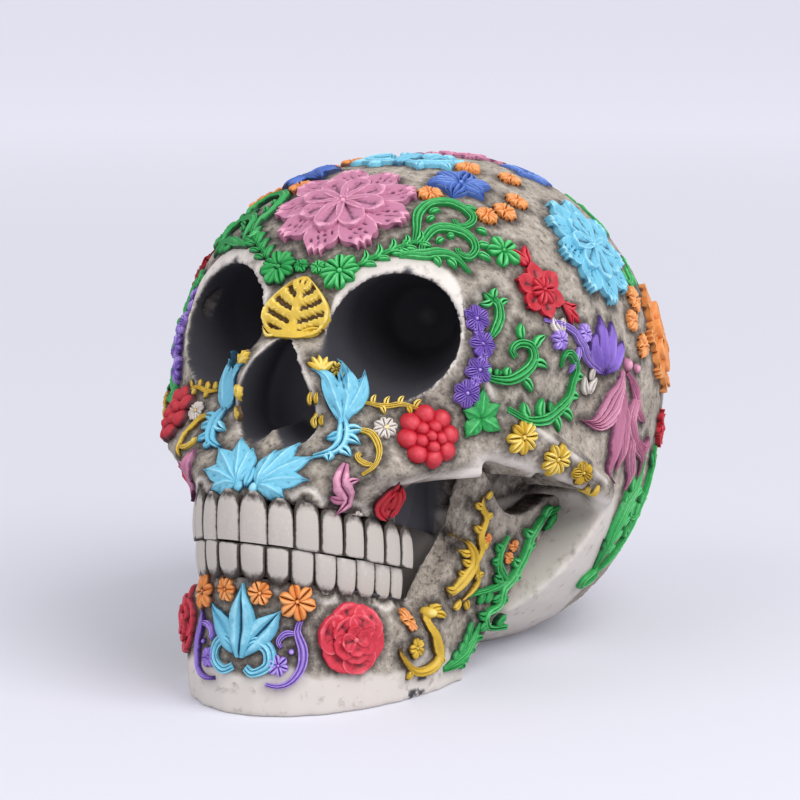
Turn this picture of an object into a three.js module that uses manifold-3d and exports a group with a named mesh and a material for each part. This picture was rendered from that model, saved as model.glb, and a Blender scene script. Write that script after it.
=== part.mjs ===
// Sugar skull: a near life-size cast skull with relief flowers, leaves and scrolls.
// Units are millimetres. The skull looks along -Y, +Z is up, and it stands on the plane Z = 0
// on the flat underside of its jaw and of its brain case.
import * as THREE from 'three';
import { mergeVertices } from 'three/addons/utils/BufferGeometryUtils.js';
import Module from 'manifold-3d';

const wasm = await Module();
wasm.setup();

// Driving dimensions.
const SEAT_GAP = 0.3; // between a piece and what it is seated on
const WIDE = 400; // a cutting block that is larger than the skull

const VAULT = {
  y: 13.5, z: 70, halfWidth: 65.5, halfLength: 85, up: 70.5, down: 75,
  frontPower: 2.4, rearPower: 1.93, egg: 0.03, rearward: 19, segments: 6,
};
const TEMPLE = { beyond: 9.5, y: -24, z: 78, halfWidth: 18, halfLength: 34, halfHeight: 28 };

const FACE = { points: 26, power: 2.2, back: 14 };
const FACE_ROWS = [
  { z: 124, halfWidth: 30, front: -44, centre: -6 },
  { z: 115, halfWidth: 43, front: -58, centre: -14 },
  { z: 104, halfWidth: 49, front: -60, centre: -14 },
  { z: 92, halfWidth: 52, front: -64, centre: -15 },
  { z: 80, halfWidth: 53, front: -73, centre: -17 },
  { z: 71, halfWidth: 54, front: -80, centre: -21 },
  { z: 64.5, halfWidth: 51, front: -89, centre: -26 },
  { z: 60, halfWidth: 37, front: -93.5, centre: -42 },
  { z: 50, halfWidth: 31, front: -95, centre: -52 },
  { z: 34, halfWidth: 29, front: -94, centre: -53 },
];
const NASAL = { y: -51, z: 104, halfWidth: 10, halfLength: 8, halfHeight: 20, slope: -40 };
const MUZZLE = { y: -62, z: 82.5, halfWidth: 18.5, halfLength: 20, halfHeight: 18 };
const NOSE = { top: 98, broadest: 77, notch: 74, bottom: 70, halfWidth: 11.7, lobe: 6.2, rear: -60, margin: 5 };
const ORBIT = {
  x: 25.4, y: -54.7, z: 98.5, halfWidth: 17.4, halfHeight: 16.4, depth: 38, out: 14, droop: -8, sides: 24,
};
const ARCH = { thick: 9, points: 10 };
const ARCH_ROWS = [
  { x: 43, y: -50, z: 72, tall: 11 },
  { x: 51, y: -41, z: 70.5, tall: 17 },
  { x: 57, y: -29, z: 65.5, tall: 15 },
  { x: 62, y: -16, z: 58, tall: 12 },
  { x: 63.5, y: -4, z: 50.5, tall: 10 },
  { x: 58, y: 6, z: 46, tall: 8 },
];
const MOUTH = { back: -38 }; // behind the teeth the underside of the head is open as far as this
const THROAT = { y: -15, z: 36, halfWidth: 21, halfLength: 38, halfHeight: 34 };

const TEETH = {
  widths: [8.2, 7.2, 7.4, 7, 7, 7.4, 7, 6.3], // from the middle of a row to its end
  depth: 8, archWidth: 31, archLength: 45, groove: 2, bevel: 1.4, clench: 0.5, overbite: 1.6, lowerShare: 0.93,
};

// Gum plane: the biting line falls towards the back teeth.
const BITE = { front: -97, z: 47, fall: 0.31, upper: 12, lower: 9 };
const JAW = { back: -38, halfWidth: 37, front: -98, thickness: 11, height: 40, flare: 2, points: 26 };
const RAMUS = { x: 42.6, alongY: 0.207, alongZ: 0.167, thickness: 8, pocket: 4, notch: 40, hollow: 64 };

// Reliefs: the gap under them, the step between overlapping forms, and how deep a flower is cut in between its
// petals, as a share of its radius.
const RELIEF = { lift: 0.65, layer: 0.12, waist: 0.66 };

// Small blossoms that are moulded with the head itself: their height, and how deep they are rooted in it.
const BLOSSOM = { height: 1.7, root: 1.8 };

const PAINT = {
  bone: 0xcfc6ba, tooth: 0xe2dbce, pink: 0xc87d9b, skyBlue: 0x78c8e1, cobalt: 0x4164af, green: 0x28964b,
  red: 0xc82337, rose: 0xe13c50, purple: 0x9673cd, orange: 0xe18c46, yellow: 0xe1be41,
};

// A closed three.js geometry as a solid, and back.
function solidOf(geometry) {
  const bare = new THREE.BufferGeometry().setAttribute('position', geometry.getAttribute('position').clone());
  if (geometry.index) bare.setIndex(geometry.index.clone());
  const merged = mergeVertices(bare, 1e-4);
  const corners = merged.index.array;
  const kept = [];
  for (let i = 0; i < corners.length; i += 3) {
    const [a, b, c] = [corners[i], corners[i + 1], corners[i + 2]];
    if (a !== b && b !== c && c !== a) kept.push(a, b, c);
  }
  return new wasm.Manifold(new wasm.Mesh({
    numProp: 3,
    vertProperties: merged.attributes.position.array,
    triVerts: new Uint32Array(kept),
  }));
}

function geometryOf(solid) {
  const { vertProperties, triVerts } = solid.getMesh();
  const geometry = new THREE.BufferGeometry();
  geometry.setAttribute('position', new THREE.BufferAttribute(vertProperties, 3));
  geometry.setIndex(new THREE.BufferAttribute(triVerts, 1));
  geometry.computeVertexNormals();
  return geometry;
}

// A closed loft through rings of equal point count, each ring turning anticlockwise seen from the next one.
function loft(rings) {
  const count = rings[0].length;
  const points = rings.flat();
  const index = [];
  const quad = (a, b, c, d) => index.push(a, b, c, a, c, d);
  for (let r = 0; r + 1 < rings.length; r++) {
    for (let i = 0; i < count; i++) {
      const j = (i + 1) % count;
      quad(r * count + i, r * count + j, (r + 1) * count + j, (r + 1) * count + i);
    }
  }
  const cap = (ring, start, flip) => {
    const middle = ring.reduce((sum, p) => sum.add(p), new THREE.Vector3()).divideScalar(count);
    points.push(middle);
    for (let i = 0; i < count; i++) {
      const j = (i + 1) % count;
      const face = [points.length - 1, start + i, start + j];
      index.push(...(flip ? face.reverse() : face));
    }
  };
  cap(rings[0], 0, true);
  cap(rings.at(-1), (rings.length - 1) * count, false);
  return new THREE.BufferGeometry().setFromPoints(points).setIndex(index);
}

const bothSides = (solid) => solid.add(solid.mirror([1, 0, 0]));
const rounded = (value, power) => Math.sign(value) * Math.abs(value) ** (2 / power);

function block(x0, x1, y0, y1, z0, z1) {
  return new THREE.BoxGeometry(x1 - x0, y1 - y0, z1 - z0)
    .translate((x0 + x1) / 2, (y0 + y1) / 2, (z0 + z1) / 2);
}

const belowFloor = solidOf(block(-WIDE, WIDE, -WIDE, WIDE, -WIDE, 0));

// Everything on one side of the sloping plane that holds the biting line, raised by lift.
function biteHalf(lift, above) {
  const side = above ? block(-WIDE, WIDE, -WIDE, WIDE, 0, WIDE) : block(-WIDE, WIDE, -WIDE, WIDE, -WIDE, 0);
  return solidOf(side.rotateX(-Math.atan(BITE.fall)).translate(0, BITE.front, BITE.z + lift));
}

// Brain case: an egg, broader behind than in front, whose underside is drawn to the rear.
function vault(grow) {
  const geometry = new THREE.IcosahedronGeometry(1, VAULT.segments);
  const position = geometry.getAttribute('position');
  const point = new THREE.Vector3();
  for (let i = 0; i < position.count; i++) {
    point.fromBufferAttribute(position, i);
    const power = THREE.MathUtils.lerp(VAULT.frontPower, VAULT.rearPower, THREE.MathUtils.smoothstep(point.y, -0.5, 0.7));
    const size = Math.abs(point.x) ** power + Math.abs(point.y) ** power + Math.abs(point.z) ** power;
    point.multiplyScalar(size ** (-1 / power));
    position.setXYZ(
      i,
      point.x * (VAULT.halfWidth + grow) * (1 + VAULT.egg * point.y),
      VAULT.y + point.y * (VAULT.halfLength + grow) + VAULT.rearward * Math.max(0, -point.z) ** 2,
      VAULT.z + point.z * ((point.z > 0 ? VAULT.up : VAULT.down) + grow),
    );
  }
  return solidOf(geometry);
}

// Face: brow, cheekbones and upper jaw, a loft of level sections.
function face(grow) {
  const rings = FACE_ROWS.map((row, r) => {
    const end = r === 0 ? grow : r === FACE_ROWS.length - 1 ? -grow : 0;
    return Array.from({ length: FACE.points }, (_, i) => {
      const turn = (i / FACE.points) * Math.PI * 2;
      const reach = Math.sin(turn) > 0 ? row.centre - row.front : FACE.back;
      return new THREE.Vector3(
        -rounded(Math.cos(turn), FACE.power) * (row.halfWidth + grow),
        row.centre - rounded(Math.sin(turn), FACE.power) * (reach + grow),
        row.z + end,
      );
    });
  }).reverse();
  return solidOf(loft(rings));
}

function ellipsoid(size, grow) {
  return solidOf(new THREE.SphereGeometry(1, 16, 10)
    .rotateX(Math.PI / 2)
    .scale(size.halfWidth + grow, size.halfLength + grow, size.halfHeight + grow)
    .rotateX(THREE.MathUtils.degToRad(size.slope ?? 0))
    .translate(size.beyond ? VAULT.halfWidth + size.beyond : 0, size.y, size.z));
}

// Cheek arch: an oval bar that tapers from the cheekbone back to the side of the brain case.
function cheekArch(grow) {
  const rings = ARCH_ROWS.map((row, r) => {
    const before = ARCH_ROWS[Math.max(r - 1, 0)];
    const after = ARCH_ROWS[Math.min(r + 1, ARCH_ROWS.length - 1)];
    const outward = new THREE.Vector3(after.y - before.y, before.x - after.x, 0).normalize();
    return Array.from({ length: ARCH.points }, (_, i) => {
      const turn = (i / ARCH.points) * Math.PI * 2;
      return new THREE.Vector3(row.x, row.y, row.z + Math.sin(turn) * (row.tall / 2 + grow))
        .addScaledVector(outward, -Math.cos(turn) * (ARCH.thick / 2 + grow));
    });
  });
  return solidOf(loft(rings));
}

// A row of teeth: one band along a half ellipse, with a groove between each two crowns.
function toothRow(upper) {
  const inset = upper ? 0 : TEETH.overbite;
  const arch = new THREE.EllipseCurve(
    0, BITE.front + TEETH.archLength, TEETH.archWidth - inset, TEETH.archLength - inset, Math.PI, Math.PI * 2,
  );
  const tall = (upper ? BITE.upper : BITE.lower) - SEAT_GAP - TEETH.clench / 2;
  const away = upper ? 1 : -1;
  const ring = (walked, groove) => {
    const along = 0.5 + walked / arch.getLength();
    const place = arch.getPointAt(along);
    const side = arch.getTangentAt(along);
    const profile = [
      [TEETH.bevel + groove, groove / 2], [groove, tall * 0.45], [TEETH.bevel / 2 + groove, tall],
      [TEETH.depth, tall], [TEETH.depth, groove / 2],
    ];
    const points = profile.map(([deep, rise]) => {
      const [x, y] = [place.x - side.y * deep, place.y + side.x * deep];
      const biting = BITE.z - BITE.fall * (y - BITE.front);
      return new THREE.Vector3(x, y, biting + away * (TEETH.clench / 2 + rise));
    });
    return upper ? points.reverse() : points;
  };
  const rings = [];
  const half = TEETH.widths.map((width) => width * (upper ? 1 : TEETH.lowerShare));
  let walked = -half.reduce((sum, width) => sum + width);
  for (const width of [...half].reverse().concat(half)) {
    rings.push(ring(walked, TEETH.groove), ring(walked + width * 0.25, 0), ring(walked + width * 0.75, 0));
    walked += width;
  }
  rings.push(ring(walked, TEETH.groove));
  return solidOf(loft(rings));
}

// Eye socket: a tapering pocket, its mouth turned outwards.
function eyeSocket(shrink) {
  const profile = [[0, -26], [1.04, -26], [1, 0], [0.88, 16], [0.55, 33], [0, 38]]
    .map(([radius, depth]) => new THREE.Vector2(radius, depth * (ORBIT.depth - shrink) / 38));
  const geometry = new THREE.LatheGeometry(profile, ORBIT.sides)
    .scale(ORBIT.halfWidth - shrink, 1, ORBIT.halfHeight - shrink)
    .rotateY(THREE.MathUtils.degToRad(ORBIT.droop))
    .rotateZ(THREE.MathUtils.degToRad(ORBIT.out))
    .translate(ORBIT.x, ORBIT.y, ORBIT.z);
  return solidOf(geometry);
}

// Nose opening: an upturned heart, cut straight back.
function noseOpening(shrink) {
  const wide = NOSE.halfWidth - shrink;
  const top = NOSE.top - shrink;
  const bottom = NOSE.bottom + shrink;
  const notch = NOSE.notch + shrink;
  const side = NOSE.broadest + shrink;
  const outline = new THREE.Shape();
  outline.moveTo(0, top);
  outline.bezierCurveTo(-4, top, -wide, side + 9, -wide, side);
  outline.bezierCurveTo(-wide, bottom, -NOSE.lobe, bottom - 2, 0, notch);
  outline.bezierCurveTo(NOSE.lobe, bottom - 2, wide, bottom, wide, side);
  outline.bezierCurveTo(wide, side + 9, 4, top, 0, top);
  return solidOf(new THREE.ExtrudeGeometry(outline, { depth: WIDE, curveSegments: 6, bevelEnabled: false })
    .rotateX(Math.PI / 2)
    .translate(0, NOSE.rear - shrink, 0));
}

// Side outline of the ramus, as y and z, and the plate that it bounds, which leans outwards as it rises. The
// ramus dips to its notch; the pocket in the head behind it rises there instead, into the hollow of the arch.
function ramusOutline(margin, notch) {
  const outline = new THREE.Shape();
  outline.moveTo(-40 + margin, -margin);
  outline.lineTo(-62 - margin, -margin);
  outline.lineTo(-57 - margin, 23);
  outline.quadraticCurveTo(-48 - margin, 44, -44 - margin, 60 + margin);
  outline.quadraticCurveTo(-38, 62 + margin, -34, 54 + margin);
  outline.quadraticCurveTo(-24, notch + margin, -10, 47 + margin);
  outline.quadraticCurveTo(-2 + margin, 50 + margin, 0 + margin, 44);
  outline.quadraticCurveTo(-14 + margin, 26, -24 + margin, 14);
  outline.quadraticCurveTo(-32 + margin, 4, -40 + margin, -margin);
  return outline;
}

function sidePlate(outline, inner, outer) {
  const lean = new THREE.Matrix4().set(
    1, RAMUS.alongY, RAMUS.alongZ, RAMUS.x + inner,
    0, 1, 0, 0,
    0, 0, 1, 0,
    0, 0, 0, 1,
  );
  const standing = new THREE.Matrix4().makeBasis(
    new THREE.Vector3(0, 1, 0), new THREE.Vector3(0, 0, 1), new THREE.Vector3(1, 0, 0),
  );
  return solidOf(new THREE.ExtrudeGeometry(outline, { depth: outer - inner, curveSegments: 5, bevelEnabled: false })
    .applyMatrix4(standing)
    .applyMatrix4(lean));
}

// Jaw body: a horseshoe, full at the lower border and drawn in a little under the teeth.
function horseshoe(inset, ends) {
  const rows = [[0, 0], [10, 0], [24, -3], [JAW.height, -2]];
  const rings = rows.map(([z, outward], r) => Array.from({ length: JAW.points }, (_, i) => {
    const turn = (i / JAW.points) * Math.PI * 2;
    const reach = Math.sin(turn) > 0 ? JAW.back - JAW.front + outward - inset : JAW.thickness + Math.abs(inset);
    return new THREE.Vector3(
      -Math.cos(turn) * (JAW.halfWidth + JAW.flare * z / JAW.height - inset),
      JAW.back - Math.sin(turn) * reach,
      r === 0 ? z - ends : r === rows.length - 1 ? z + ends : z,
    );
  }));
  return solidOf(loft(rings));
}

function makeMandible(grow) {
  return horseshoe(-grow, 0)
    .subtract(horseshoe(JAW.thickness + grow, 1))
    .subtract(biteHalf(grow - BITE.lower, true))
    .add(bothSides(sidePlate(ramusOutline(grow, RAMUS.notch), -RAMUS.thickness, grow)))
    .subtract(belowFloor);
}

// The head's outer form, and the head with its sockets and nose opening.
function headForm(grow) {
  const mouth = biteHalf(BITE.upper - grow, false)
    .intersect(solidOf(block(-WIDE, WIDE, -WIDE, MOUTH.back - grow, -WIDE, WIDE)));
  const pocket = ramusOutline(RAMUS.pocket - grow, RAMUS.hollow);
  return vault(grow)
    .subtract(bothSides(ellipsoid(TEMPLE, -grow)))
    .add(face(grow))
    .subtract(mouth)
    .subtract(bothSides(sidePlate(pocket, grow - RAMUS.thickness, WIDE)))
    .add(ellipsoid(THROAT, grow))
    .add(ellipsoid(NASAL, grow))
    .add(ellipsoid(MUZZLE, grow))
    .add(bothSides(cheekArch(grow)))
    .subtract(belowFloor);
}

function makeCranium(grow) {
  return headForm(grow)
    .subtract(bothSides(eyeSocket(grow)))
    .subtract(noseOpening(grow));
}

const craniumSeat = makeCranium(SEAT_GAP);

const mandible = makeMandible(0).subtract(craniumSeat);

// Reliefs are drawn flat, with u to the right, v up and h outwards, and are then laid on the surface.
function ringOf(shape, h, share = 1) {
  const middle = shape.reduce((sum, p) => sum.add(p), new THREE.Vector2()).divideScalar(shape.length);
  return shape.map((p) => {
    const moved = p.clone().sub(middle).multiplyScalar(share).add(middle);
    return new THREE.Vector3(moved.x, moved.y, h);
  });
}

// A flower of one tier of petals or of two, with a button in the middle.
function flower(u, v, petals, radius, height, tiers = 1) {
  const corners = [[0, RELIEF.waist], [0.3, 1], [0.7, 1]];
  const shape = Array.from({ length: petals * 3 }, (_, i) => {
    const [part, reach] = corners[i % 3];
    const angle = ((Math.floor(i / 3) + part) / petals) * Math.PI * 2;
    return new THREE.Vector2(u + Math.cos(angle) * reach * radius, v + Math.sin(angle) * reach * radius);
  });
  const rings = [ringOf(shape, 0, 0.5), ringOf(shape, 0), ringOf(shape, height * 0.55)];
  if (tiers === 2) rings.push(ringOf(shape, height * 0.5, 0.66), ringOf(shape, height, 0.58));
  rings.push(ringOf(shape, height, 0.3));
  return loft(rings);
}

// A small flower with pointed petals.
function floret(u, v, petals, radius, height, foot = 0) {
  const shape = Array.from({ length: petals * 2 }, (_, i) => {
    const angle = (i / petals) * Math.PI;
    const reach = i % 2 ? radius : radius * RELIEF.waist;
    return new THREE.Vector2(u + Math.cos(angle) * reach, v + Math.sin(angle) * reach);
  });
  return loft([ringOf(shape, foot), ringOf(shape, height, 0.6)]);
}

// A broad leaf, drawn anticlockwise round its middle and crowned.
function leaf(points, height) {
  const shape = points.map((p) => new THREE.Vector2(...p));
  return loft([ringOf(shape, 0), ringOf(shape, height * 0.6), ringOf(shape, height, 0.45)]);
}

// A stem, scroll or slim leaf: a smooth line, widest at its middle.
function stroke(points, width, height, foot = 0) {
  const line = new THREE.CatmullRomCurve3(points.map(([u, v]) => new THREE.Vector3(u, v, 0)));
  const steps = points.length + 1;
  const section = [[-1, foot], [1, foot], [0, height]];
  return loft(Array.from({ length: steps + 1 }, (_, i) => {
    const half = (width / 2) * (0.35 + 0.65 * Math.sin((Math.PI * i) / steps));
    const across = line.getTangentAt(i / steps).applyAxisAngle(new THREE.Vector3(0, 0, 1), Math.PI / 2);
    const at = line.getPointAt(i / steps);
    return section.map(([side, h]) => at.clone().addScaledVector(across, side * half).setZ(h));
  }));
}

// The solid of flat forms laid on a surface, seen from an outward direction. The surface is met first at the
// forms' middle, on the line that aims at it from the middle of what carries them.
function drape({ surface, middle }, aim, outward, forms) {
  const ray = new THREE.Raycaster();
  const aimed = new THREE.Vector3(...aim).normalize();
  ray.set(middle.clone().addScaledVector(aimed, WIDE), aimed.clone().negate());
  const place = ray.intersectObject(surface)[0].point;
  const facing = new THREE.Vector3(...outward).normalize();
  const upward = Math.abs(facing.z) < 0.95 ? new THREE.Vector3(0, 0, 1) : new THREE.Vector3(0, 1, 0);
  const right = new THREE.Vector3().crossVectors(upward, facing).normalize();
  const up = new THREE.Vector3().crossVectors(facing, right);
  const laid = forms.map((form, order) => {
    const lift = RELIEF.lift + RELIEF.layer * order;
    const position = form.getAttribute('position');
    for (let i = 0; i < position.count; i++) {
      const from = place.clone()
        .addScaledVector(right, position.getX(i))
        .addScaledVector(up, position.getY(i))
        .addScaledVector(facing, WIDE);
      ray.set(from, facing.clone().negate());
      const foot = ray.intersectObject(surface)[0].point.addScaledVector(facing, lift + position.getZ(i));
      position.setXYZ(i, foot.x, foot.y, foot.z);
    }
    return solidOf(form);
  });
  return laid.reduce((all, form) => all.add(form));
}

const lay = (on, aim, outward, forms) => drape(on, aim, outward, forms).subtract(on.seat);

const skull = new THREE.Group();
function piece(name, solid, color) {
  const mesh = new THREE.Mesh(geometryOf(solid), new THREE.MeshStandardMaterial({ color, roughness: 0.6 }));
  mesh.name = name;
  skull.add(mesh);
  return mesh;
}
const head = {
  surface: new THREE.Mesh(geometryOf(headForm(0))),
  seat: craniumSeat,
  middle: new THREE.Vector3(0, VAULT.y, VAULT.z),
};

// Small flowers and a hooked stem on each side, which are one with the head.
const blossom = (petals, radius) => floret(0, 0, petals, radius, BLOSSOM.height, -BLOSSOM.root);
const hook = stroke([[0.5, 6], [1.5, 2], [1, -1], [-0.5, -4]], 3, BLOSSOM.height, -BLOSSOM.root);
const moulded = [
  [[20.5, -39, 63.4], [0.16, -0.29, 0.94], blossom(5, 3.4)],
  [[29, -6.1, 65.1], [0.39, -0.01, 0.92], blossom(5, 3.4)],
  [[37.1, -18.5, 60.3], [0.55, -0.07, 0.84], blossom(5, 3.4)],
  [[37.9, -27.9, 58.3], [0.52, -0.17, 0.83], blossom(5, 3.4)],
  [[36, -35.5, 57.6], [0.46, -0.2, 0.86], blossom(5, 3.2)],
  [[43.9, -41.1, 49.1], [0.69, -0.33, 0.64], blossom(5, 4.8)],
  [[48, -53.5, 33.5], [0.8, -0.45, 0.4], hook],
  [[59.6, -35.8, 25], [0.98, -0.15, 0.1], blossom(5, 2.7)],
  [[59.8, 12.5, 30.6], [0.94, 0.11, 0.31], blossom(5, 4)],
  [[64.3, 10.1, 17.7], [0.94, 0.11, 0.31], blossom(5, 3.6)],
  [[61.5, 27.5, -9], [0.96, 0.22, -0.06], blossom(5, 5.4)],
].map(([aim, outward, form]) => drape(head, aim, outward, [form]));
piece('cranium', moulded.reduce((all, one) => all.add(bothSides(one)), makeCranium(0)), PAINT.bone);

const jaw = {
  surface: piece('mandible', mandible, PAINT.bone),
  seat: makeMandible(SEAT_GAP),
  middle: new THREE.Vector3(0, JAW.back, JAW.height / 2),
};
piece('upper_teeth', toothRow(true), PAINT.tooth);
piece('lower_teeth', toothRow(false), PAINT.tooth);

// A relief on the middle line, and one on the left with its mirror image on the right.
function single(name, on, color, aim, outward, forms) {
  piece(name, lay(on, aim, outward, forms), color);
}

function pair(name, on, color, aim, outward, forms) {
  const left = lay(on, aim, outward, forms);
  piece(`${name}_left`, left, color);
  piece(`${name}_right`, left.mirror([1, 0, 0]), color);
}

const mirrored = (points) => points.map(([u, v]) => [-u, v]).reverse();

// Forehead and crown.
single('forehead_rosette', head, PAINT.pink, [0, -51.5, 61.5], [0, -0.45, 0.89], [flower(0, 0, 8, 19.5, 3.2, 2)]);
const crownCurl = [[0, -4], [5, -7], [11, -5], [13, 1], [8, 4]];
single('crown_scroll', head, PAINT.skyBlue, [0, -11.5, 70.5], [0, -0.05, 1], [
  stroke(crownCurl, 4, 1.8), stroke(mirrored(crownCurl), 4, 1.8), stroke([[0, -9], [0, 0], [0, 8]], 5, 1.8),
]);
pair('cobalt_flower', head, PAINT.cobalt, [24, -27, 65.5], [0.28, -0.17, 0.94], [flower(0, 0, 6, 8, 2.2)]);

// Brow and nose.
pair('brow_scroll', head, PAINT.green, [30.5, -49, 55.5], [0.44, -0.44, 0.78], [
  stroke([[-8.3, -6.5], [-6.5, 6], [-2, 11], [4, 11], [8.5, 6], [6, 1]], 3, 2),
  stroke([[-9, -9], [-7.5, -4.5], [-3, 0], [3, -1], [6.5, -5], [5, -9]], 3, 2),
  stroke([[-14, -8], [-9, -9], [-3, -9], [3, -13]], 4, 2),
  stroke([[-23, -8.5], [-18, -6.5], [-13, -5], [-7.5, -3]], 3.5, 1.6),
]);
pair('brow_flower', head, PAINT.green, [9.5, -71, 45], [0.12, -0.74, 0.66], [floret(0, 0, 7, 5.2, 2.5)]);
const palmTips = Array.from({ length: 13 }, (_, i) => {
  const angle = THREE.MathUtils.degToRad(-12 + i * 17);
  const length = (i % 2 ? 8 : 12) + 5 * Math.sin(angle);
  return [Math.cos(angle) * length * 0.6, -5.5 + Math.sin(angle) * length];
});
single('nose_palm', head, PAINT.yellow, [0, -79.5, 35], [0, -0.84, 0.54], [leaf(palmTips, 2.5)]);
const besideNose = [NOSE.halfWidth + NOSE.margin, -83, NOSE.broadest + 4.5 - VAULT.z];
pair('nose_leaf', head, PAINT.skyBlue, besideNose, [0.25, -0.84, 0.49], [
  leaf([[-6, 6], [-4, -2], [0, -6], [3, -2], [5, 3], [4, 8], [-1.5, 9], [-3, 4]], 2.5),
  stroke([[0, -4], [1, -9], [0.5, -12.5], [-4, -15]], 4, 2.5),
]);
const lipLeaf = [[2, -7], [7, -5], [11, -7.5], [11.5, -3], [15.5, -2], [13, 2], [15.5, 6], [9, 8.5], [3.5, 7]];
single('lip_leaves', head, PAINT.skyBlue, [0, -101.5, -4.5], [0, -0.84, 0.54], [
  leaf(lipLeaf, 2.5), leaf(mirrored(lipLeaf), 2.5), stroke([[-5, -4.5], [0, -5.5], [5, -4.5]], 4, 2),
]);

// Cheeks and arches.
pair('cheek_flower', head, PAINT.red, [39.5, -76.5, 3], [0.72, -0.65, 0.24], [flower(0, 0, 8, 8.6, 4.5)]);
pair('ivy_leaf', head, PAINT.green, [47.8, -63.1, 7], [0.8, -0.6, 0.1], [
  leaf([[-4, -5], [0.5, -3], [5, -4], [4, -1], [6, 3], [3, 2.5], [1, 7], [-1, 2.5], [-5, 1.5], [-2.5, -1]], 2),
]);
pair('arch_sprig', head, PAINT.yellow, [60.5, -42.5, -7], [0.9, -0.42, 0], [
  stroke([[-12, 7.5], [0, 0], [10, -5]], 3, 1.5),
  floret(-12, 7.5, 5, 4.8, 2.5), floret(0, 0, 5, 4.4, 2.5), floret(10, -5, 5, 3.6, 2.5),
]);
pair('rosebud', head, PAINT.red, [30.5, -82.5, -14.5], [0.82, -0.51, -0.26], [
  leaf([[-4.5, 0], [2, -6], [5, -1], [1, 6]], 2.5),
]);

// Temples and sides.
pair('rim_sprig', head, PAINT.purple, [45, -60.5, 25], [0.75, -0.62, 0.2], [
  stroke([[1.5, 8], [2, 1], [0.5, -5], [-4, -12]], 2.5, 2),
  floret(1.5, 8, 5, 3.5, 2), floret(2, 1, 5, 3.5, 2), floret(0, -6, 5, 3.5, 2), floret(-4, -12, 5, 3.5, 2),
]);
pair('hibiscus', head, PAINT.red, [53, -36.5, 38], [0.86, -0.27, 0.43], [flower(0, 0, 6, 7.8, 2.4)]);
pair('blue_rosette', head, PAINT.skyBlue, [52, -1.5, 46.5], [0.8, 0.05, 0.6], [flower(0, 0, 9, 16, 3.2, 2)]);
pair('spiral_vine', head, PAINT.green, [53, -52.5, 20], [0.88, -0.44, 0.19], [
  stroke([[0.5, 2], [2, 5.5], [6, 4.5], [6.5, 1], [3, -2.5], [-3, -4], [-8, -2.5]], 3, 2.5),
  stroke([[11, 6.5], [7, 3.5], [5, 1]], 3, 2), stroke([[4.5, -7], [2.5, -4], [1, -1]], 3, 2),
]);
pair('lower_vine', head, PAINT.green, [57.5, -45.5, 7.5], [0.96, -0.25, 0.1], [
  stroke([[13, 13], [19, 9], [17, 3], [8.5, -1.5], [0, -2.5], [-7, -1]], 3, 2.5),
  stroke([[0.5, 5], [1, 1], [3, -2]], 3, 2), stroke([[17, -4], [13, -1], [12, 2]], 3, 2),
]);
pair('tulip', head, PAINT.purple, [62.5, -16.5, 21], [0.98, -0.15, 0.1], [
  stroke([[-21.5, 9], [-16, 7.5], [-11, 3], [-5.5, -3], [0, -6]], 2.5, 2),
  leaf([[2, -8], [7, -5.5], [12, -1], [7.5, 1], [8, 5.5], [3.5, 3.5], [1, 8], [-4, 2], [-3.5, -4.5]], 3),
]);
pair('acanthus', head, PAINT.pink, [65, -6.5, -2.5], [1, -0.1, 0], [
  stroke([[-10.5, -14], [-7, -9], [-4, -2], [-1, 6], [2, 14]], 6, 3),
  stroke([[-17, 3], [-11, 2], [-6, 6], [-3, 11], [2, 14]], 5, 3),
  stroke([[14, -13], [13, -9], [7.5, -4], [5, 2], [7, 9], [2, 14]], 4, 3),
]);
pair('orange_rosette', head, PAINT.orange, [60, 34.5, 17], [0.9, 0.36, 0.22], [flower(0, 0, 8, 15, 3.2, 2)]);
pair('rear_leaf', head, PAINT.green, [60, 1.5, -34], [0.93, 0, -0.36], [
  stroke([[-2, -13], [-3, -5], [0, 3], [6, 11], [9, 16]], 7, 3),
  stroke([[-1, -12], [8, -8], [15, 2], [19, 12]], 5, 2.5),
]);
single('back_rosette', head, PAINT.pink, [0, 84.5, 12], [0, 1, 0.12], [flower(0, 0, 8, 18, 3)]);

// Chin and jaw.
const volute = [[1, -3], [5.5, -1.5], [8, -5], [6.5, -8.5], [3, -8.5]];
const sidePetal = [[0, -5], [6, 0], [10.5, 7.5], [4, 4.5], [1, 0]];
single('chin_lily', jaw, PAINT.skyBlue, [0, -57.5, 1], [0, -1, 0.1], [
  leaf([[0, -5], [2.5, 0], [3, 6], [0, 13], [-3, 6], [-2.5, 0]], 3),
  leaf(sidePetal, 2.5), leaf(mirrored(sidePetal), 2.5),
  stroke(volute, 3, 2.5), stroke(mirrored(volute), 3, 2.5),
]);
pair('chin_flower', jaw, PAINT.orange, [14.5, -53, 11], [0.5, -0.86, 0], [floret(0, 0, 6, 4.8, 2.5)]);
pair('chin_scroll', jaw, PAINT.purple, [13, -54.5, -4], [0.5, -0.86, 0.1], [
  stroke([[3, 9.5], [3, 5], [3.5, 0], [1, -6], [-6.5, -7]], 3, 2.5),
  stroke([[3, 5], [-1, 6.5], [-3, 3]], 2.5, 2),
]);
pair('rose', jaw, PAINT.rose, [25.5, -42.5, 0], [0.8, -0.6, 0], [flower(0, 0, 7, 9.6, 3.4, 2)]);
pair('swan_scroll', jaw, PAINT.yellow, [35, -21, -6], [0.97, -0.25, 0], [
  stroke([[5.5, 9.5], [4, 5], [6, 0], [5, -5], [-1, -6.5], [-7, -3], [-8.5, 1]], 4, 2.5),
]);
pair('ramus_scroll', jaw, PAINT.yellow, [40, -4.5, 17], [0.97, -0.2, -0.15], [
  stroke([[-8, -11], [-2.5, -7.5], [2, -3], [2, 4], [3, 10], [2.5, 15]], 4, 2.5),
  stroke([[2, -3], [4.5, -9], [-1, -14]], 3, 2.5),
]);
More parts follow.
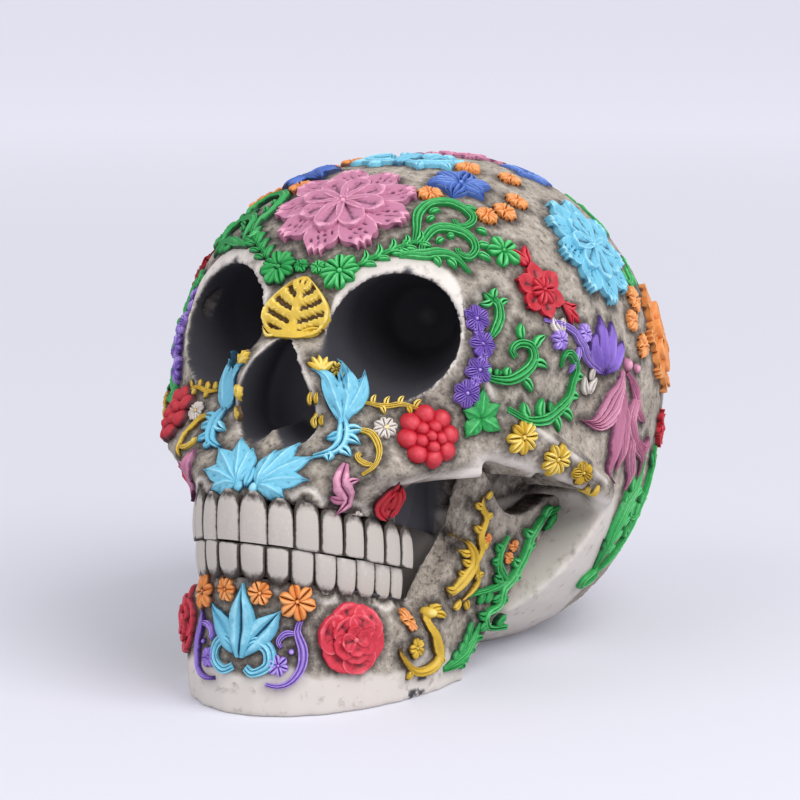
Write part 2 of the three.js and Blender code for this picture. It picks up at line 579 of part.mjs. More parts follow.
pair('ramus_vine', jaw, PAINT.green, [42.5, 13.5, 9], [0.97, -0.2, -0.15], [
  stroke([[20, 13], [12, 10], [7, 3], [1, -4], [-3, -11], [-4, -15]], 4, 2.5),
  stroke([[0, 9], [-2.5, 4], [1, -3], [-5, -4.5], [-12, -5]], 3, 2.5),
]);
pair('angle_leaf', jaw, PAINT.green, [37, 1.5, -10.5], [0.99, 0.05, -0.1], [
  stroke([[-12.5, -4], [-5, -2.5], [1, 0.5], [4, 6]], 7, 2.5),
]);

export default skull;
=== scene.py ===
import bisect
import math

import bmesh
import bpy
import numpy as np
from mathutils import Matrix, Vector, noise
from mathutils.bvhtree import BVHTree
from mathutils.geometry import interpolate_bezier
from mathutils.kdtree import KDTree


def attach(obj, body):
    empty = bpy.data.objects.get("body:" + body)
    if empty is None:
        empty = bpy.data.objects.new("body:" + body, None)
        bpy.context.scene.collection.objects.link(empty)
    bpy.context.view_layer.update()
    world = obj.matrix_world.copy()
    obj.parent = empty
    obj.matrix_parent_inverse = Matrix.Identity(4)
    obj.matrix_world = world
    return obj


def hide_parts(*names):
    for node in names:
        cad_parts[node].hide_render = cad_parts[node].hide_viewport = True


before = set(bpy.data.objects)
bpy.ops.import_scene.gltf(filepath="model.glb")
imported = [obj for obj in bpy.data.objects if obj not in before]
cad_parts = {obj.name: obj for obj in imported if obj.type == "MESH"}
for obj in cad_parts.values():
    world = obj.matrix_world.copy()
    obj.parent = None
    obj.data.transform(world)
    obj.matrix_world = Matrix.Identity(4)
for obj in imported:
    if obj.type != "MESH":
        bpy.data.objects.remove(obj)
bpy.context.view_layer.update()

# Head: brain case, brow, cheekbones and upper jaw in one casting of polyresin. It is sprayed stone grey,
# washed dark brown into every pit, and wiped back to bare white on the rims and ridges; the sockets are
# painted black.
MM = 0.001
HEAD_VOXEL = 1.0
SOCKET = {"middle": (25.4, -54.7, 98.5), "half_width": 17.4, "half_height": 16.4, "out": 14.0, "droop": -8.0,
          "depth": (-22.0, -14.0, 34.0, 42.0)}
RIM = {"side": 0.06, "top": 0.19, "rise": 0.5}
BROW_HOLE = {"at": (26.6, -50.9, 115.4), "radius": 0.9}
NOSE = {"half_width": 11.7, "top": 98.0, "broadest": 77.0, "notch": 74.0, "lobe": 4.3, "rear": -48.0,
        "sill": -79.0, "slope": 0.54, "wall": 3.5, "inner_half": 12.5, "inner_floor": 64.0,
        "round": 8.0, "lobe_half": 4.5}
TEMPLE_RIDGE = ((43.3, -41.2, 109.4), (47.6, -46.6, 97.5), (48.5, -47.3, 86.0), (51.6, -46.0, 79.9),
                (58.5, -34.2, 71.1), (63.8, -22.7, 62.8), (67.1, -9.0, 53.7))
CHEEK_EDGE = ((33.0, -71.0, 60.8), (38.0, -63.0, 60.6), (46.8, -51.0, 60.6), (54.0, -41.0, 62.2),
              (60.0, -29.0, 58.2), (64.5, -16.0, 52.4), (65.5, -5.0, 46.2))
HOLLOW = {"half_width": 27.0, "share": 0.92, "roof": (57.0, 61.0), "length": (-65.0, -59.0, -41.0, -35.0)}
GUM = {"front": -97.0, "middle": -52.0, "rear": (-60.0, -50.0), "fall": 0.31, "upper": 59.0, "lower": 38.0}
UPPER_ARCH = {"half_width": 30.3, "length": 44.2, "fade": (0.5, 8.0)}
CHEEK_BAND = {"length": (-56.0, -50.0, -42.0, -34.0), "height": (59.0, 61.0, 64.0, 69.0)}
BEHIND_RAMUS = {"front": (-46.0, -38.0), "top": (46.0, 49.0), "rear": (6.0, 11.0), "slant": 0.27,
                "corner": 45.0}
MOULDED = {
    "orange_blossom_a": ((20.5, -25.5, 133.4), (0.16, -0.29, 0.94), 3.7),
    "orange_blossom_c": ((29.0, 7.4, 135.1), (0.39, -0.01, 0.92), 3.7),
    "orange_blossom_d": ((37.1, -5.0, 130.3), (0.55, -0.07, 0.84), 3.8),
    "orange_blossom_e": ((37.9, -14.4, 128.3), (0.52, -0.17, 0.83), 3.9),
    "orange_blossom_f": ((36.0, -22.0, 127.6), (0.46, -0.2, 0.86), 3.5),
    "temple_flower": ((43.9, -27.6, 119.1), (0.69, -0.33, 0.64), 5.2),
    "hook_vine": ((48.0, -40.0, 103.5), (0.8, -0.45, 0.4), 6.5),
    "tulip_star": ((59.6, -22.3, 95.0), (0.98, -0.15, 0.1), 3.1),
    "side_blossom": ((59.8, 26.0, 100.6), (0.94, 0.11, 0.31), 4.3),
    "lower_blossom": ((64.3, 23.6, 87.7), (0.94, 0.11, 0.31), 3.8),
    "rear_blossom": ((61.5, 41.0, 61.0), (0.96, 0.22, -0.06), 5.7),
}
GROUND = (156, 145, 131)
GROUND_HIGH = (208, 198, 185)
# Dark brown of the wash in the pits; the same colour paints the shade in angles and hollows.
GROUND_WASH_AND_SHADE = (46, 39, 34)
BARE = (224, 216, 208)
BLACK = (58, 57, 63)


def srgb(colour):
    """A colour as painted, 0 to 255, as the linear values that a shader takes."""
    shares = [c / 255 for c in colour]
    return [s / 12.92 if s <= 0.04045 else ((s + 0.055) / 1.055) ** 2.4 for s in shares] + [1.0]


def step(low, high, value):
    share = np.clip((value - low) / (high - low), 0.0, 1.0)
    return share * share * (3 - 2 * share)


def window(start, full, fading, end, value):
    """1 from full to fading, falling to 0 at start and at end."""
    return step(start, full, value) * (1 - step(fading, end, value))


def cast_skin(node, voxel, rubs):
    """A copy of a CAD solid under one even skin, its edges rubbed round as on a casting."""
    mesh = bmesh.new()
    mesh.from_mesh(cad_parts[node].data)
    bmesh.ops.remove_doubles(mesh, verts=mesh.verts, dist=1e-6)
    data = bpy.data.meshes.new(node + "_cast")
    mesh.to_mesh(data)
    mesh.free()
    piece = bpy.data.objects.new(node + "_cast", data)
    bpy.context.scene.collection.objects.link(piece)
    even = piece.modifiers.new("even", "REMESH")
    even.mode = "VOXEL"
    even.voxel_size = voxel * MM
    rub = piece.modifiers.new("rub", "SMOOTH")
    rub.factor = 0.5
    rub.iterations = rubs
    skin = bpy.data.meshes.new_from_object(piece.evaluated_get(bpy.context.evaluated_depsgraph_get()))
    piece.modifiers.clear()
    piece.data = skin
    skin.materials.clear()
    skin.shade_smooth()
    return piece


def points_of(piece):
    """A piece's points and their normals, in millimetres."""
    count = len(piece.data.vertices)
    co = np.empty(count * 3)
    piece.data.vertices.foreach_get("co", co)
    normal = np.empty(count * 3)
    piece.data.vertex_normals.foreach_get("vector", normal)
    return co.reshape(-1, 3) / MM, normal.reshape(-1, 3)


def move_points(piece, co):
    piece.data.vertices.foreach_set("co", (co * MM).ravel())
    piece.data.update()


def give(piece, name, values):
    layer = piece.data.attributes.new(name, "FLOAT", "POINT")
    layer.data.foreach_set("value", np.asarray(values, dtype=np.float32))


def on_left(co):
    """Points of both halves, all turned to the left one."""
    return co * np.where(co[:, :1] < 0, -1, 1) ** np.array([1, 0, 0])


def axes(facing):
    """Right, up and outward of a form that is seen from outside."""
    out = Vector(facing).normalized()
    right = (Vector((0, 0, 1)) if abs(out.z) < 0.95 else Vector((0, 1, 0))).cross(out).normalized()
    return right, out.cross(right), out


def pare(co, at, facing, radius):
    """Carries the surface round a moulded flower on under it, so that the finished flower can lie there."""
    right, up, out = (np.array(axis) for axis in axes(facing))
    for side in (1, -1):
        gap = co * [side, 1, 1] - at
        u, v, h = gap @ right, gap @ up, gap @ out
        far = np.hypot(u, v)
        ring = (np.abs(h) < 7) & (far > 1.25 * radius) & (far < 2.1 * radius)
        under = (np.abs(h) < 7) & (far < 1.4 * radius)
        terms = np.stack([u**0, u, v, u * u, u * v, v * v], axis=1)
        plain = np.linalg.lstsq(terms[ring], h[ring], rcond=None)[0]
        co[under] += np.outer(terms[under] @ plain - h[under], out * [side, 1, 1])


def draw_in(co, above, half_width, length, fade):
    """Draws the bone in towards the arch of the teeth, wholly along the gum line."""
    share = (1 - step(*fade, above)) * (1 - step(*GUM["rear"], co[:, 1]))
    back = np.minimum(co[:, 1] - GUM["middle"], 0.0)
    reach = np.hypot(co[:, 0] / half_width, back / length)
    scale = 1 + (1 / np.maximum(reach, 1.0) - 1) * share
    co[:, 0] *= scale
    co[:, 1] += back * (scale - 1)


def draw_hollow(co):
    """Draws in the wall between the back teeth and the ramus, under the cheekbone. Returns by what share."""
    share = (1 - step(*HOLLOW["roof"], co[:, 2])) * window(*HOLLOW["length"], co[:, 1])
    beyond = np.maximum(np.abs(co[:, 0]) - HOLLOW["half_width"], 0.0)
    co[:, 0] -= np.sign(co[:, 0]) * beyond * HOLLOW["share"] * share
    return share * (beyond > 0)


def gum_line(co, row):
    return GUM[row] - GUM["fall"] * (co[:, 1] - GUM["front"])


def off_line(co, line):
    """Distance of every point from a line through a few places."""
    nearest = np.full(len(co), 1e3)
    for a, b in zip(np.array(line[:-1]), np.array(line[1:])):
        along = np.clip((co - a) @ (b - a) / ((b - a) @ (b - a)), 0, 1)
        nearest = np.minimum(nearest, np.linalg.norm(co - a - along[:, None] * (b - a), axis=1))
    return nearest


def softened(piece, values, rounds=2):
    """Values of a piece's points, evened out with those of their neighbours and drawn together again."""
    pairs = np.empty(len(piece.data.edges) * 2, dtype=np.int32)
    piece.data.edges.foreach_get("vertices", pairs)
    one, other = pairs.reshape(-1, 2).T
    values = np.asarray(values, dtype=float)
    for _ in range(rounds):
        around = np.bincount(one, values[other], len(values)) + np.bincount(other, values[one], len(values))
        values = (values + around) / (1 + np.bincount(pairs, minlength=len(values)))
    return step(0.15, 0.85, values)


def pitted(co, size, seed):
    """Rough casting: a soft noise value for every point."""
    shift = Vector((seed, 2.0 * seed, 0.0))
    return np.array([noise.fractal(Vector(p) / size + shift, 0.9, 2.0, 3) for p in co])


head = cast_skin("cranium", HEAD_VOXEL, 8)
head_points, head_normals = points_of(head)
for place_of_flower in MOULDED.values():
    pare(head_points, *place_of_flower)
draw_in(head_points, head_points[:, 2] - gum_line(head_points, "upper"), **UPPER_ARCH)
hollow = draw_hollow(head_points)
move_points(head, head_points)
head_points, head_normals = points_of(head)

left = on_left(head_points)
depth, height = head_points[:, 1], head_points[:, 2]
turn = Matrix.Rotation(math.radians(SOCKET["out"]), 3, "Z")
turn = np.array(turn @ Matrix.Rotation(math.radians(SOCKET["droop"]), 3, "Y"))
in_socket = (left - SOCKET["middle"]) @ turn
across_socket, up_socket = in_socket[:, 0] / SOCKET["half_width"], in_socket[:, 2] / SOCKET["half_height"]
socket_ring = np.hypot(across_socket, up_socket)
ring = np.maximum(socket_ring, 0.1)
near_socket = window(*SOCKET["depth"], in_socket[:, 1])
rim_width = RIM["side"] + RIM["top"] * step(0.2, 0.95, up_socket / ring + 0.15 * across_socket)
rim = near_socket * (1 - step(0.75, 1.1, (socket_ring - 1.0) / rim_width)) * (socket_ring > 0.985)
black = near_socket * (1 - step(0.965, 1.0, socket_ring))
facing = (head_normals * np.where(head_points[:, :1] < 0, -1, 1) ** np.array([1, 0, 0])) @ turn
inward = -(facing[:, 0] * across_socket + facing[:, 2] * up_socket) / ring
black = np.maximum(black, near_socket * step(0.5, 0.75, inward) * (1 - step(1.05, 1.1, socket_ring)))
rim *= 1 - black

high = np.clip((height - NOSE["broadest"]) / (NOSE["top"] - NOSE["broadest"]), 0, 1)
low = np.clip((NOSE["broadest"] - height) / NOSE["round"], 0, 1)
nose_half = NOSE["half_width"] * (1 - high**2) ** 0.75 * np.sqrt(1 - low**2)
nose_floor = NOSE["notch"] - NOSE["lobe"] * np.clip(left[:, 0] / NOSE["lobe_half"], 0, 1)
nose_span = (depth < NOSE["rear"]) & (height > nose_floor) & (height < NOSE["top"])
black = np.maximum(black, nose_span & (left[:, 0] < nose_half + 0.1))
in_nose = depth - NOSE["sill"] - NOSE["slope"] * (height - NOSE["notch"]) > NOSE["wall"]
in_nose &= (depth < NOSE["rear"]) & (left[:, 0] < NOSE["inner_half"])
black = np.maximum(black, in_nose & (height > NOSE["inner_floor"]) & (height < NOSE["top"]))
# Painted shade: the wall drawn in between the back teeth and the ramus is painted near black, as the shade in
# that recess.
black = np.maximum(black, 0.9 * step(0.3, 0.9, hollow))
nose_rim = np.exp(-(((left[:, 0] - nose_half - 0.9) / 0.8) ** 2)) * nose_span * (head_normals[:, 1] < -0.2)

ridge = np.exp(-((off_line(left, TEMPLE_RIDGE) / 1.0) ** 2))
cheek_edge = np.exp(-((off_line(left, CHEEK_EDGE) / 1.7) ** 2))
band = window(*CHEEK_BAND["length"], depth) * window(*CHEEK_BAND["height"], height)
behind_ramus = step(*BEHIND_RAMUS["front"], depth) * (1 - step(*BEHIND_RAMUS["top"], height))
slanted = depth - BEHIND_RAMUS["slant"] * (BEHIND_RAMUS["corner"] - height)
behind_ramus *= 1 - step(*BEHIND_RAMUS["rear"], slanted)
bare = np.clip(rim + 0.8 * nose_rim + 0.9 * ridge + cheek_edge + 0.75 * band + behind_ramus, 0, 1)
# Painted shade: a small hole at the top of each socket rim is a black spot, not cut into the casting.
hole = np.linalg.norm(left - BROW_HOLE["at"], axis=1)
black = np.maximum(black, 1 - step(BROW_HOLE["radius"], BROW_HOLE["radius"] + 0.5, hole))

black = softened(head, black)
rough = pitted(head_points, 5.0, 3.0) * 0.22 + pitted(head_points, 1.9, 7.0) * 0.2
rough = (rough - 0.2) * (1 - 0.85 * np.clip(bare + black, 0, 1))
lift = np.where(head_points[:, 2] < 1.5, 0.0, rough + RIM["rise"] * rim + 0.5 * ridge + 0.4 * cheek_edge)
move_points(head, head_points + head_normals * lift[:, None])
head_points, head_normals = points_of(head)
give(head, "black", black)
give(head, "bare", bare)


def node_kit(group, *inputs):
    """A new group's sockets, and short ways to add noise, spans, sums, layers and attributes to it."""
    for label in inputs:
        group.interface.new_socket(label, in_out="INPUT", socket_type="NodeSocketColor")
    for label, kind in (("Color", "Color"), ("Roughness", "Float"), ("Height", "Float")):
        group.interface.new_socket(label, in_out="OUTPUT", socket_type="NodeSocket" + kind)
    nodes, link = group.nodes, group.links.new
    where = nodes.new("ShaderNodeTexCoord").outputs["Object"]

    def put(socket, value):
        if isinstance(value, bpy.types.NodeSocket):
            link(value, socket)
        else:
            socket.default_value = srgb(value) if isinstance(value, tuple) else value

    def grain(scale, detail, roughness=0.5):
        node = nodes.new("ShaderNodeTexNoise")
        put(node.inputs["Vector"], where)
        for label, given in (("Scale", scale), ("Detail", detail), ("Roughness", roughness)):
            put(node.inputs[label], given)
        return node.outputs["Fac"]

    def span(value, low, high, kind="LINEAR"):
        node = nodes.new("ShaderNodeMapRange")
        node.interpolation_type = kind
        for label, given in (("Value", value), ("From Min", low), ("From Max", high)):
            put(node.inputs[label], given)
        return node.outputs["Result"]

    def maths(kind, *values, clamp=True):
        node = nodes.new("ShaderNodeMath")
        node.operation = kind
        node.use_clamp = clamp
        for socket, value in zip(node.inputs, values):
            put(socket, value)
        return node.outputs[0]

    def over(below, above, share):
        mix = nodes.new("ShaderNodeMix")
        mix.data_type = "RGBA"
        for label, given in (("Factor", share), ("A", below), ("B", above)):
            put(mix.inputs[label], given)
        return mix.outputs["Result"]

    def read(name):
        attribute = nodes.new("ShaderNodeAttribute")
        attribute.attribute_name = name
        return attribute.outputs["Fac"]

    def send(**values):
        out = nodes.new("NodeGroupOutput")
        for label, value in values.items():
            link(value, out.inputs[label])

    return grain, span, maths, over, read, send


def ground_group():
    """Stone-grey spray, washed dark brown in its pits and wiped off the high spots, with painted shade
    in the angles and hollows, and the bare and the dark parts.
    """
    group = bpy.data.node_groups.new("washed_and_shaded_ground", "ShaderNodeTree")
    grain, span, maths, over, read, send = node_kit(group)
    patches = span(grain(90.0, 5.0, 0.62), 0.36, 0.66)
    grains = span(grain(520.0, 5.0, 0.62), 0.34, 0.70)
    pits = maths("MULTIPLY", span(grain(640.0, 3.0, 0.62), 0.52, 0.70), 0.75)
    crown_joint_shade = span(grain(240.0, 5.0, 0.62), 0.30, 0.50)
    stone = over(GROUND, GROUND_HIGH, maths("MULTIPLY", grains, maths("ADD", patches, 0.35)))
    unwiped = maths("SUBTRACT", 1.0, maths("MULTIPLY", patches, 0.55))
    stone = over(stone, GROUND_WASH_AND_SHADE, maths("MULTIPLY", pits, unwiped))
    bare = maths("MULTIPLY", read("bare"), maths("ADD", crown_joint_shade, 0.3))
    stone = over(stone, BARE, bare)
    # Painted shade in the angles and hollows, in the same dark brown.
    wash = maths("MULTIPLY", read("wash"), maths("SUBTRACT", 1.15, maths("MULTIPLY", grains, 0.5)))
    stone = over(stone, GROUND_WASH_AND_SHADE, wash)
    # The black parts: socket and nose paint, and painted shade in the deepest hollows.
    stone = over(stone, BLACK, read("black"))
    rough = maths("SUBTRACT", 0.78, maths("MULTIPLY", bare, 0.22))
    uneven = maths("SUBTRACT", grains, maths("MULTIPLY", pits, 0.6))
    plain = maths("SUBTRACT", 1.0, maths("MAXIMUM", bare, read("black")))
    send(Color=stone, Roughness=rough, Height=maths("MULTIPLY", uneven, plain))
    return group


def finish_with(name, group, bump, **colours):
    """A matt paint whose colour, roughness and grain come from a group."""
    material = bpy.data.materials.new(name)
    material.use_nodes = True
    nodes, link = material.node_tree.nodes, material.node_tree.links.new
    shader = nodes["Principled BSDF"]
    source = nodes.new("ShaderNodeGroup")
    source.node_tree = group
    for label, colour in colours.items():
        source.inputs[label].default_value = srgb(colour)
    grain = nodes.new("ShaderNodeBump")
    grain.inputs["Strength"].default_value = bump
    grain.inputs["Distance"].default_value = 0.4 * MM
    link(source.outputs["Color"], shader.inputs["Base Color"])
    link(source.outputs["Roughness"], shader.inputs["Roughness"])
    link(source.outputs["Height"], grain.inputs["Height"])
    link(grain.outputs["Normal"], shader.inputs["Normal"])
    return material


def place(piece, slot, *nodes):
    """A finished piece rides on the one body and stands for its CAD nodes."""
    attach(piece, "root")
    if nodes:
        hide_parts(*nodes)
    return piece


ground = finish_with("washed_and_shaded_ground", ground_group(), 0.9)
head.data.materials.append(ground)
place(head, "bone", "cranium")
head_tree = BVHTree.FromObject(head, bpy.context.evaluated_depsgraph_get())

# Jaw: chin, body and the two rami, cast with the head and closed on it. It has the same washed ground and
# painted shade, wiped to bare white along the smooth lower border that the skull stands on, and down the back
# edges of the rami.
JAW_VOXEL = 0.9
JAW_BORDER = {"fade": (7.5, 11.0), "ragged": 2.5, "chin": (-75.0, -95.0), "chin_rise": 3.5}
RAMUS = {"front": -38.0, "slim": 0.62, "height": (27.0, 40.0), "off_middle": (28.0, 33.0), "rear": -46.0}
MOUTH = {"middle": -45.0, "rear": -48.0}
LOWER_ARCH = {"half_width": 28.9, "length": 42.8, "fade": (0.5, 9.0)}
CHIPS = (((34.8, -58.4, 5.6), 1.5), ((34.9, -56.5, 7.6), 1.2), ((33.6, -62.0, 1.4), 1.3),
         ((34.6, -58.0, 1.2), 0.9))
SHELTER = {"ways": 26, "reach": 34.0, "turn": 2.4}

jaw = cast_skin("mandible", JAW_VOXEL, 8)
jaw_points, jaw_normals = points_of(jaw)
slim = step(*RAMUS["height"], jaw_points[:, 2]) * step(*RAMUS["off_middle"], np.abs(jaw_points[:, 0]))
jaw_points[:, 1] -= np.minimum(jaw_points[:, 1] - RAMUS["front"], 0.0) * RAMUS["slim"] * slim
draw_in(jaw_points, gum_line(jaw_points, "lower") - jaw_points[:, 2], **LOWER_ARCH)
move_points(jaw, jaw_points)
jaw_points, jaw_normals = points_of(jaw)
left = on_left(jaw_points)
border = jaw_points[:, 2] + JAW_BORDER["ragged"] * pitted(jaw_points, 9.0, 17.0)
border -= JAW_BORDER["chin_rise"] * step(*JAW_BORDER["chin"], jaw_points[:, 1])
jaw_bare = 1 - step(*JAW_BORDER["fade"], border)
outlook = jaw_points[:, 0] * jaw_normals[:, 0] + (jaw_points[:, 1] - MOUTH["middle"]) * jaw_normals[:, 1]
inner = outlook < 0
back_edge = step(0.25, 0.6, jaw_normals[:, 1]) * (jaw_points[:, 1] > RAMUS["rear"])
jaw_bare = np.clip(jaw_bare * ~inner + back_edge, 0, 1)
rough = pitted(jaw_points, 5.0, 11.0) * 0.2 + pitted(jaw_points, 1.9, 13.0) * 0.18 - 0.18
lift = np.where(jaw_points[:, 2] < 1.0, 0.0, rough * (1 - 0.9 * jaw_bare))
move_points(jaw, jaw_points + jaw_normals * lift[:, None])
jaw_points, jaw_normals = points_of(jaw)
chipped = np.zeros(len(jaw_points))
for spot, size in CHIPS:
    ragged = np.linalg.norm(left - spot, axis=1) + pitted(jaw_points, 1.2, 19.0)
    chipped = np.maximum(chipped, 1 - step(size, size + 0.4, ragged))
give(jaw, "bare", jaw_bare)
# The jaw's black holds the chips, and painted shade on the inner faces of the jaw's front, inside the mouth.
give(jaw, "black", np.maximum(chipped, 0.85 * inner * (jaw_points[:, 1] < MOUTH["rear"])))
jaw.data.materials.append(ground)
place(jaw, "bone", "mandible")
jaw_tree = BVHTree.FromObject(jaw, bpy.context.evaluated_depsgraph_get())


def sheltered(co, normal, picked):
    """The share of its outlook in which each picked point has other parts of the casting close before it."""
    ways = []
    for k in range(SHELTER["ways"]):
        z = 1 - (2 * k + 1) / SHELTER["ways"]
        flat, angle = math.sqrt(1 - z * z), SHELTER["turn"] * k
        ways.append(Vector((math.cos(angle) * flat, math.sin(angle) * flat, z)))
    share = np.zeros(len(co))
    for i in np.flatnonzero(picked):
        out = Vector(normal[i])
        start = (Vector(co[i]) + out * 0.7) * MM
        seen = [way for way in ways if way.dot(out) > 0.1]
        met = [way for way in seen if head_tree.ray_cast(start, way, SHELTER["reach"] * MM)[0]
               or jaw_tree.ray_cast(start, way, SHELTER["reach"] * MM)[0]]
        share[i] = len(met) / max(len(seen), 1)
    return share


# Painted shade for the hollows: each point near the mouth and behind the jaw is darkened by the share of its
# outlook that the casting blocks.
cavity_shade = {}
in_reach = (head_points[:, 2] < 72) & (head_points[:, 1] < 14) & (head_points[:, 1] > -96)
cavity_shade["cranium_cast"] = step(0.45, 0.8, sheltered(head_points, head_normals, in_reach))
cavity_shade["cranium_cast"] *= 1 - 0.75 * behind_ramus
cavity_shade["mandible_cast"] = step(0.5, 0.85, sheltered(jaw_points, jaw_normals, jaw_points[:, 1] > -75))
cavity_shade["mandible_cast"] *= 1 - jaw_bare

# Teeth: two clenched rows, each crown a separate swelling of the casting, painted off-white with painted
# shade in the joints and round the necks. The crowns lap over the edge of the bone.
TOOTH_WIDTHS = (8.2, 7.2, 7.4, 7.0, 7.0, 7.4, 7.0, 6.3)
TOOTH_ARCH = {"half_width": 31.0, "length": 45.0, "front": -97.0, "z": 47.0, "fall": 0.31}
TOOTH_ROWS = {
    "upper": {"tall": 14.2, "inset": 0.0, "share": 1.0,
              "grown": (1.0, 0.93, 1.03, 0.95, 0.92, 0.9, 0.87, 0.84)},
    "lower": {"tall": 11.2, "inset": 1.6, "share": 0.93,
              "grown": (0.9, 0.92, 1.0, 0.98, 1.0, 1.0, 0.97, 0.94)},
}
TOOTH_GAP = 0.1
TOOTH_SHELL = 2.6
TOOTH_PAINT = {"Paint": (198, 190, 181), "Shade": (62, 53, 46), "Light": (222, 215, 207)}


def line_through(points):
    """A smooth line through a few flat points: gives the place at a share of it and its left there."""
    knots = [Vector((p[0], p[1], 0.0)) for p in points]
    dots = [knots[0]]
    for i in range(len(knots) - 1):
        a, b = knots[i], knots[i + 1]
        before, after = knots[max(i - 1, 0)], knots[min(i + 2, len(knots) - 1)]
        dots += interpolate_bezier(a, a + (b - before) / 6, b - (after - a) / 6, b, 9)[1:]
    walked = [0.0]
    for a, b in zip(dots, dots[1:]):
        walked.append(walked[-1] + (b - a).length)

    def at(share):
        want = min(max(share, 0.0), 1.0) * walked[-1]
        i = min(max(bisect.bisect_left(walked, want) - 1, 0), len(dots) - 2)
        return dots[i].lerp(dots[i + 1], (want - walked[i]) / max(walked[i + 1] - walked[i], 1e-9))

    def spot(share):
        way = at(share + 0.03) - at(share - 0.03)
        return at(share), Vector((-way.y, way.x, 0.0)).normalized()

    return spot


def ease(low, high, value):
    share = min(max((value - low) / (high - low), 0.0), 1.0)
    return share * share * (3 - 2 * share)


def flat_mesh():
    flat = bmesh.new()
    flat.verts.layers.float.new("crest")
    return flat


def blade(flat, points, half, height, form, across=6, along=8, base=0.0, foot=-0.9, reach=None, tint=None):
    """A closed leaf, petal or crown on the flat: a grid bent along a line and thickened. At a share t of the
    line half(t) is its half width, and form(s, t) its height from 0 to 1, with s from -1 at one edge to 1 at
    the other. The painted shade and highlight follow the height unless tint(s, t) is given."""
    crest = flat.verts.layers.float["crest"]
    feet = bmesh.ops.create_grid(flat, x_segments=across, y_segments=along, size=1.0)["verts"]
    faces = list({face for vert in feet for face in vert.link_faces})
    raised = bmesh.ops.extrude_face_region(flat, geom=faces, use_keep_orig=True)["geom"]
    tops = [part for part in raised if isinstance(part, bmesh.types.BMVert)]
    spot = line_through(points)
    for verts, top in ((feet, False), (tops, True)):
        for vert in verts:
            s, t = vert.co.x, (vert.co.y + 1) / 2
            at, side = spot(t * (reach(s) if reach else 1.0))
            high = form(s, t)
            at = at + side * (s * half(t))
            vert.co = (at.x, at.y, base + height * high if top else foot)
            # Feet get a low value: painted shade at the foot of each blade.
            vert[crest] = (tint(s, t) if tint else 0.15 + 0.85 * high) if top else 0.1


def teeth(row):
    """One row: crowns that are widest near the biting edge and rounded at the neck, bent round the arch."""
    inset, tall = TOOTH_ROWS[row]["inset"], TOOTH_ROWS[row]["tall"]
    wide, long = TOOTH_ARCH["half_width"] - inset, TOOTH_ARCH["length"] - inset
    turns = np.linspace(0, math.pi / 2, 200)
    steps = np.hypot(np.diff(wide * np.sin(turns)), np.diff(long * np.cos(turns)))
    arc = np.concatenate([[0], np.cumsum(steps)])
    flat = flat_mesh()
    away = 1 if row == "upper" else -1

    def width(t, half):
        return half * (1 - 0.06 * t) * math.sqrt(max(1 - (max(t - 0.66, 0) / 0.36) ** 2, 0.0))

    def crown(s, t):
        swell = 0.78 + 0.22 * math.sin(math.pi * min(t + 0.2, 1))
        return (1 - 0.3 * s**4) * swell * (1 - 0.3 * ease(0.75, 1, t))

    # Painted shade: darker towards the sides of each crown, where it meets the next, towards the neck and at
    # the biting edge.
    def crown_joint_shade(s, t):
        bite = 1 - ease(0.0, 0.05, t)
        return 0.88 - 0.7 * ease(0.72, 1.0, abs(s)) - 0.6 * ease(0.55, 1.0, t) - 0.2 * bite

    for side in (1, -1):
        walked = 0.0
        for order, size in enumerate(TOOTH_WIDTHS):
            size *= TOOTH_ROWS[row]["share"]
            middle = side * (walked + size / 2)
            grown = tall * TOOTH_ROWS[row]["grown"][order]
            half = size / 2 - TOOTH_GAP / 2
            bite = 0.05 + 0.3 * ((order * 7 + side) % 3) / 2
            blade(flat, [(middle, bite), (middle, grown / 2), (middle, grown)], lambda t: width(t, half),
                  TOOTH_SHELL, crown, across=10, along=12, foot=-4.2, tint=crown_joint_shade)
            walked += size
    # A dark strip behind the crowns: painted shade that shows through the joints between them.
    ends_at, middle = walked - 0.4, tall * 0.4
    blade(flat, [(-ends_at, middle), (0, middle), (ends_at, middle)], lambda t: tall * 0.36, 0.5,
          lambda s, t: 0.0, across=2, along=60, foot=-4.4, tint=lambda s, t: -0.6)
    for vert in flat.verts:
        u, v, h = vert.co
        turn = math.copysign(np.interp(abs(u), arc, turns), u)
        out = Vector((long * math.sin(turn), -wide * math.cos(turn), 0.0)).normalized()
        at = Vector((wide * math.sin(turn), TOOTH_ARCH["front"] + long - long * math.cos(turn), 0.0))
        at += out * (h - TOOTH_SHELL)
        biting = TOOTH_ARCH["z"] - TOOTH_ARCH["fall"] * (at.y - TOOTH_ARCH["front"])
        vert.co = (at.x * MM, at.y * MM, (biting + away * v) * MM)
    return flat


def paint_group():
    """Paint with a brush grain: painted shade in the recesses and painted highlights on the edges that stand
    up.
    """
    group = bpy.data.node_groups.new("brushed_and_shaded_paint", "ShaderNodeTree")
    grain, span, maths, over, read, send = node_kit(group, "Paint", "Shade", "Light")
    given = group.nodes.new("NodeGroupInput").outputs
    uneven = maths("MULTIPLY_ADD", grain(900.0, 4.0), 0.36, -0.18, clamp=False)
    height = maths("ADD", read("crest"), uneven, clamp=False)
    # Painted shade where the crest value is low, painted highlight where it is high.
    colour = over(given["Shade"], given["Paint"], span(height, 0.30, 0.66, "SMOOTHSTEP"))
    colour = over(colour, given["Light"], span(height, 0.88, 1.14, "SMOOTHSTEP"))
    rough = maths("MULTIPLY_ADD", grain(1600.0, 2.0), 0.3, 0.36, clamp=False)
    send(Color=colour, Roughness=rough, Height=grain(1300.0, 3.0))
    return group


brushed_and_shaded = paint_group()
DIP_SHADE_SHARE = 0.8
CRISP = math.radians(52.0)


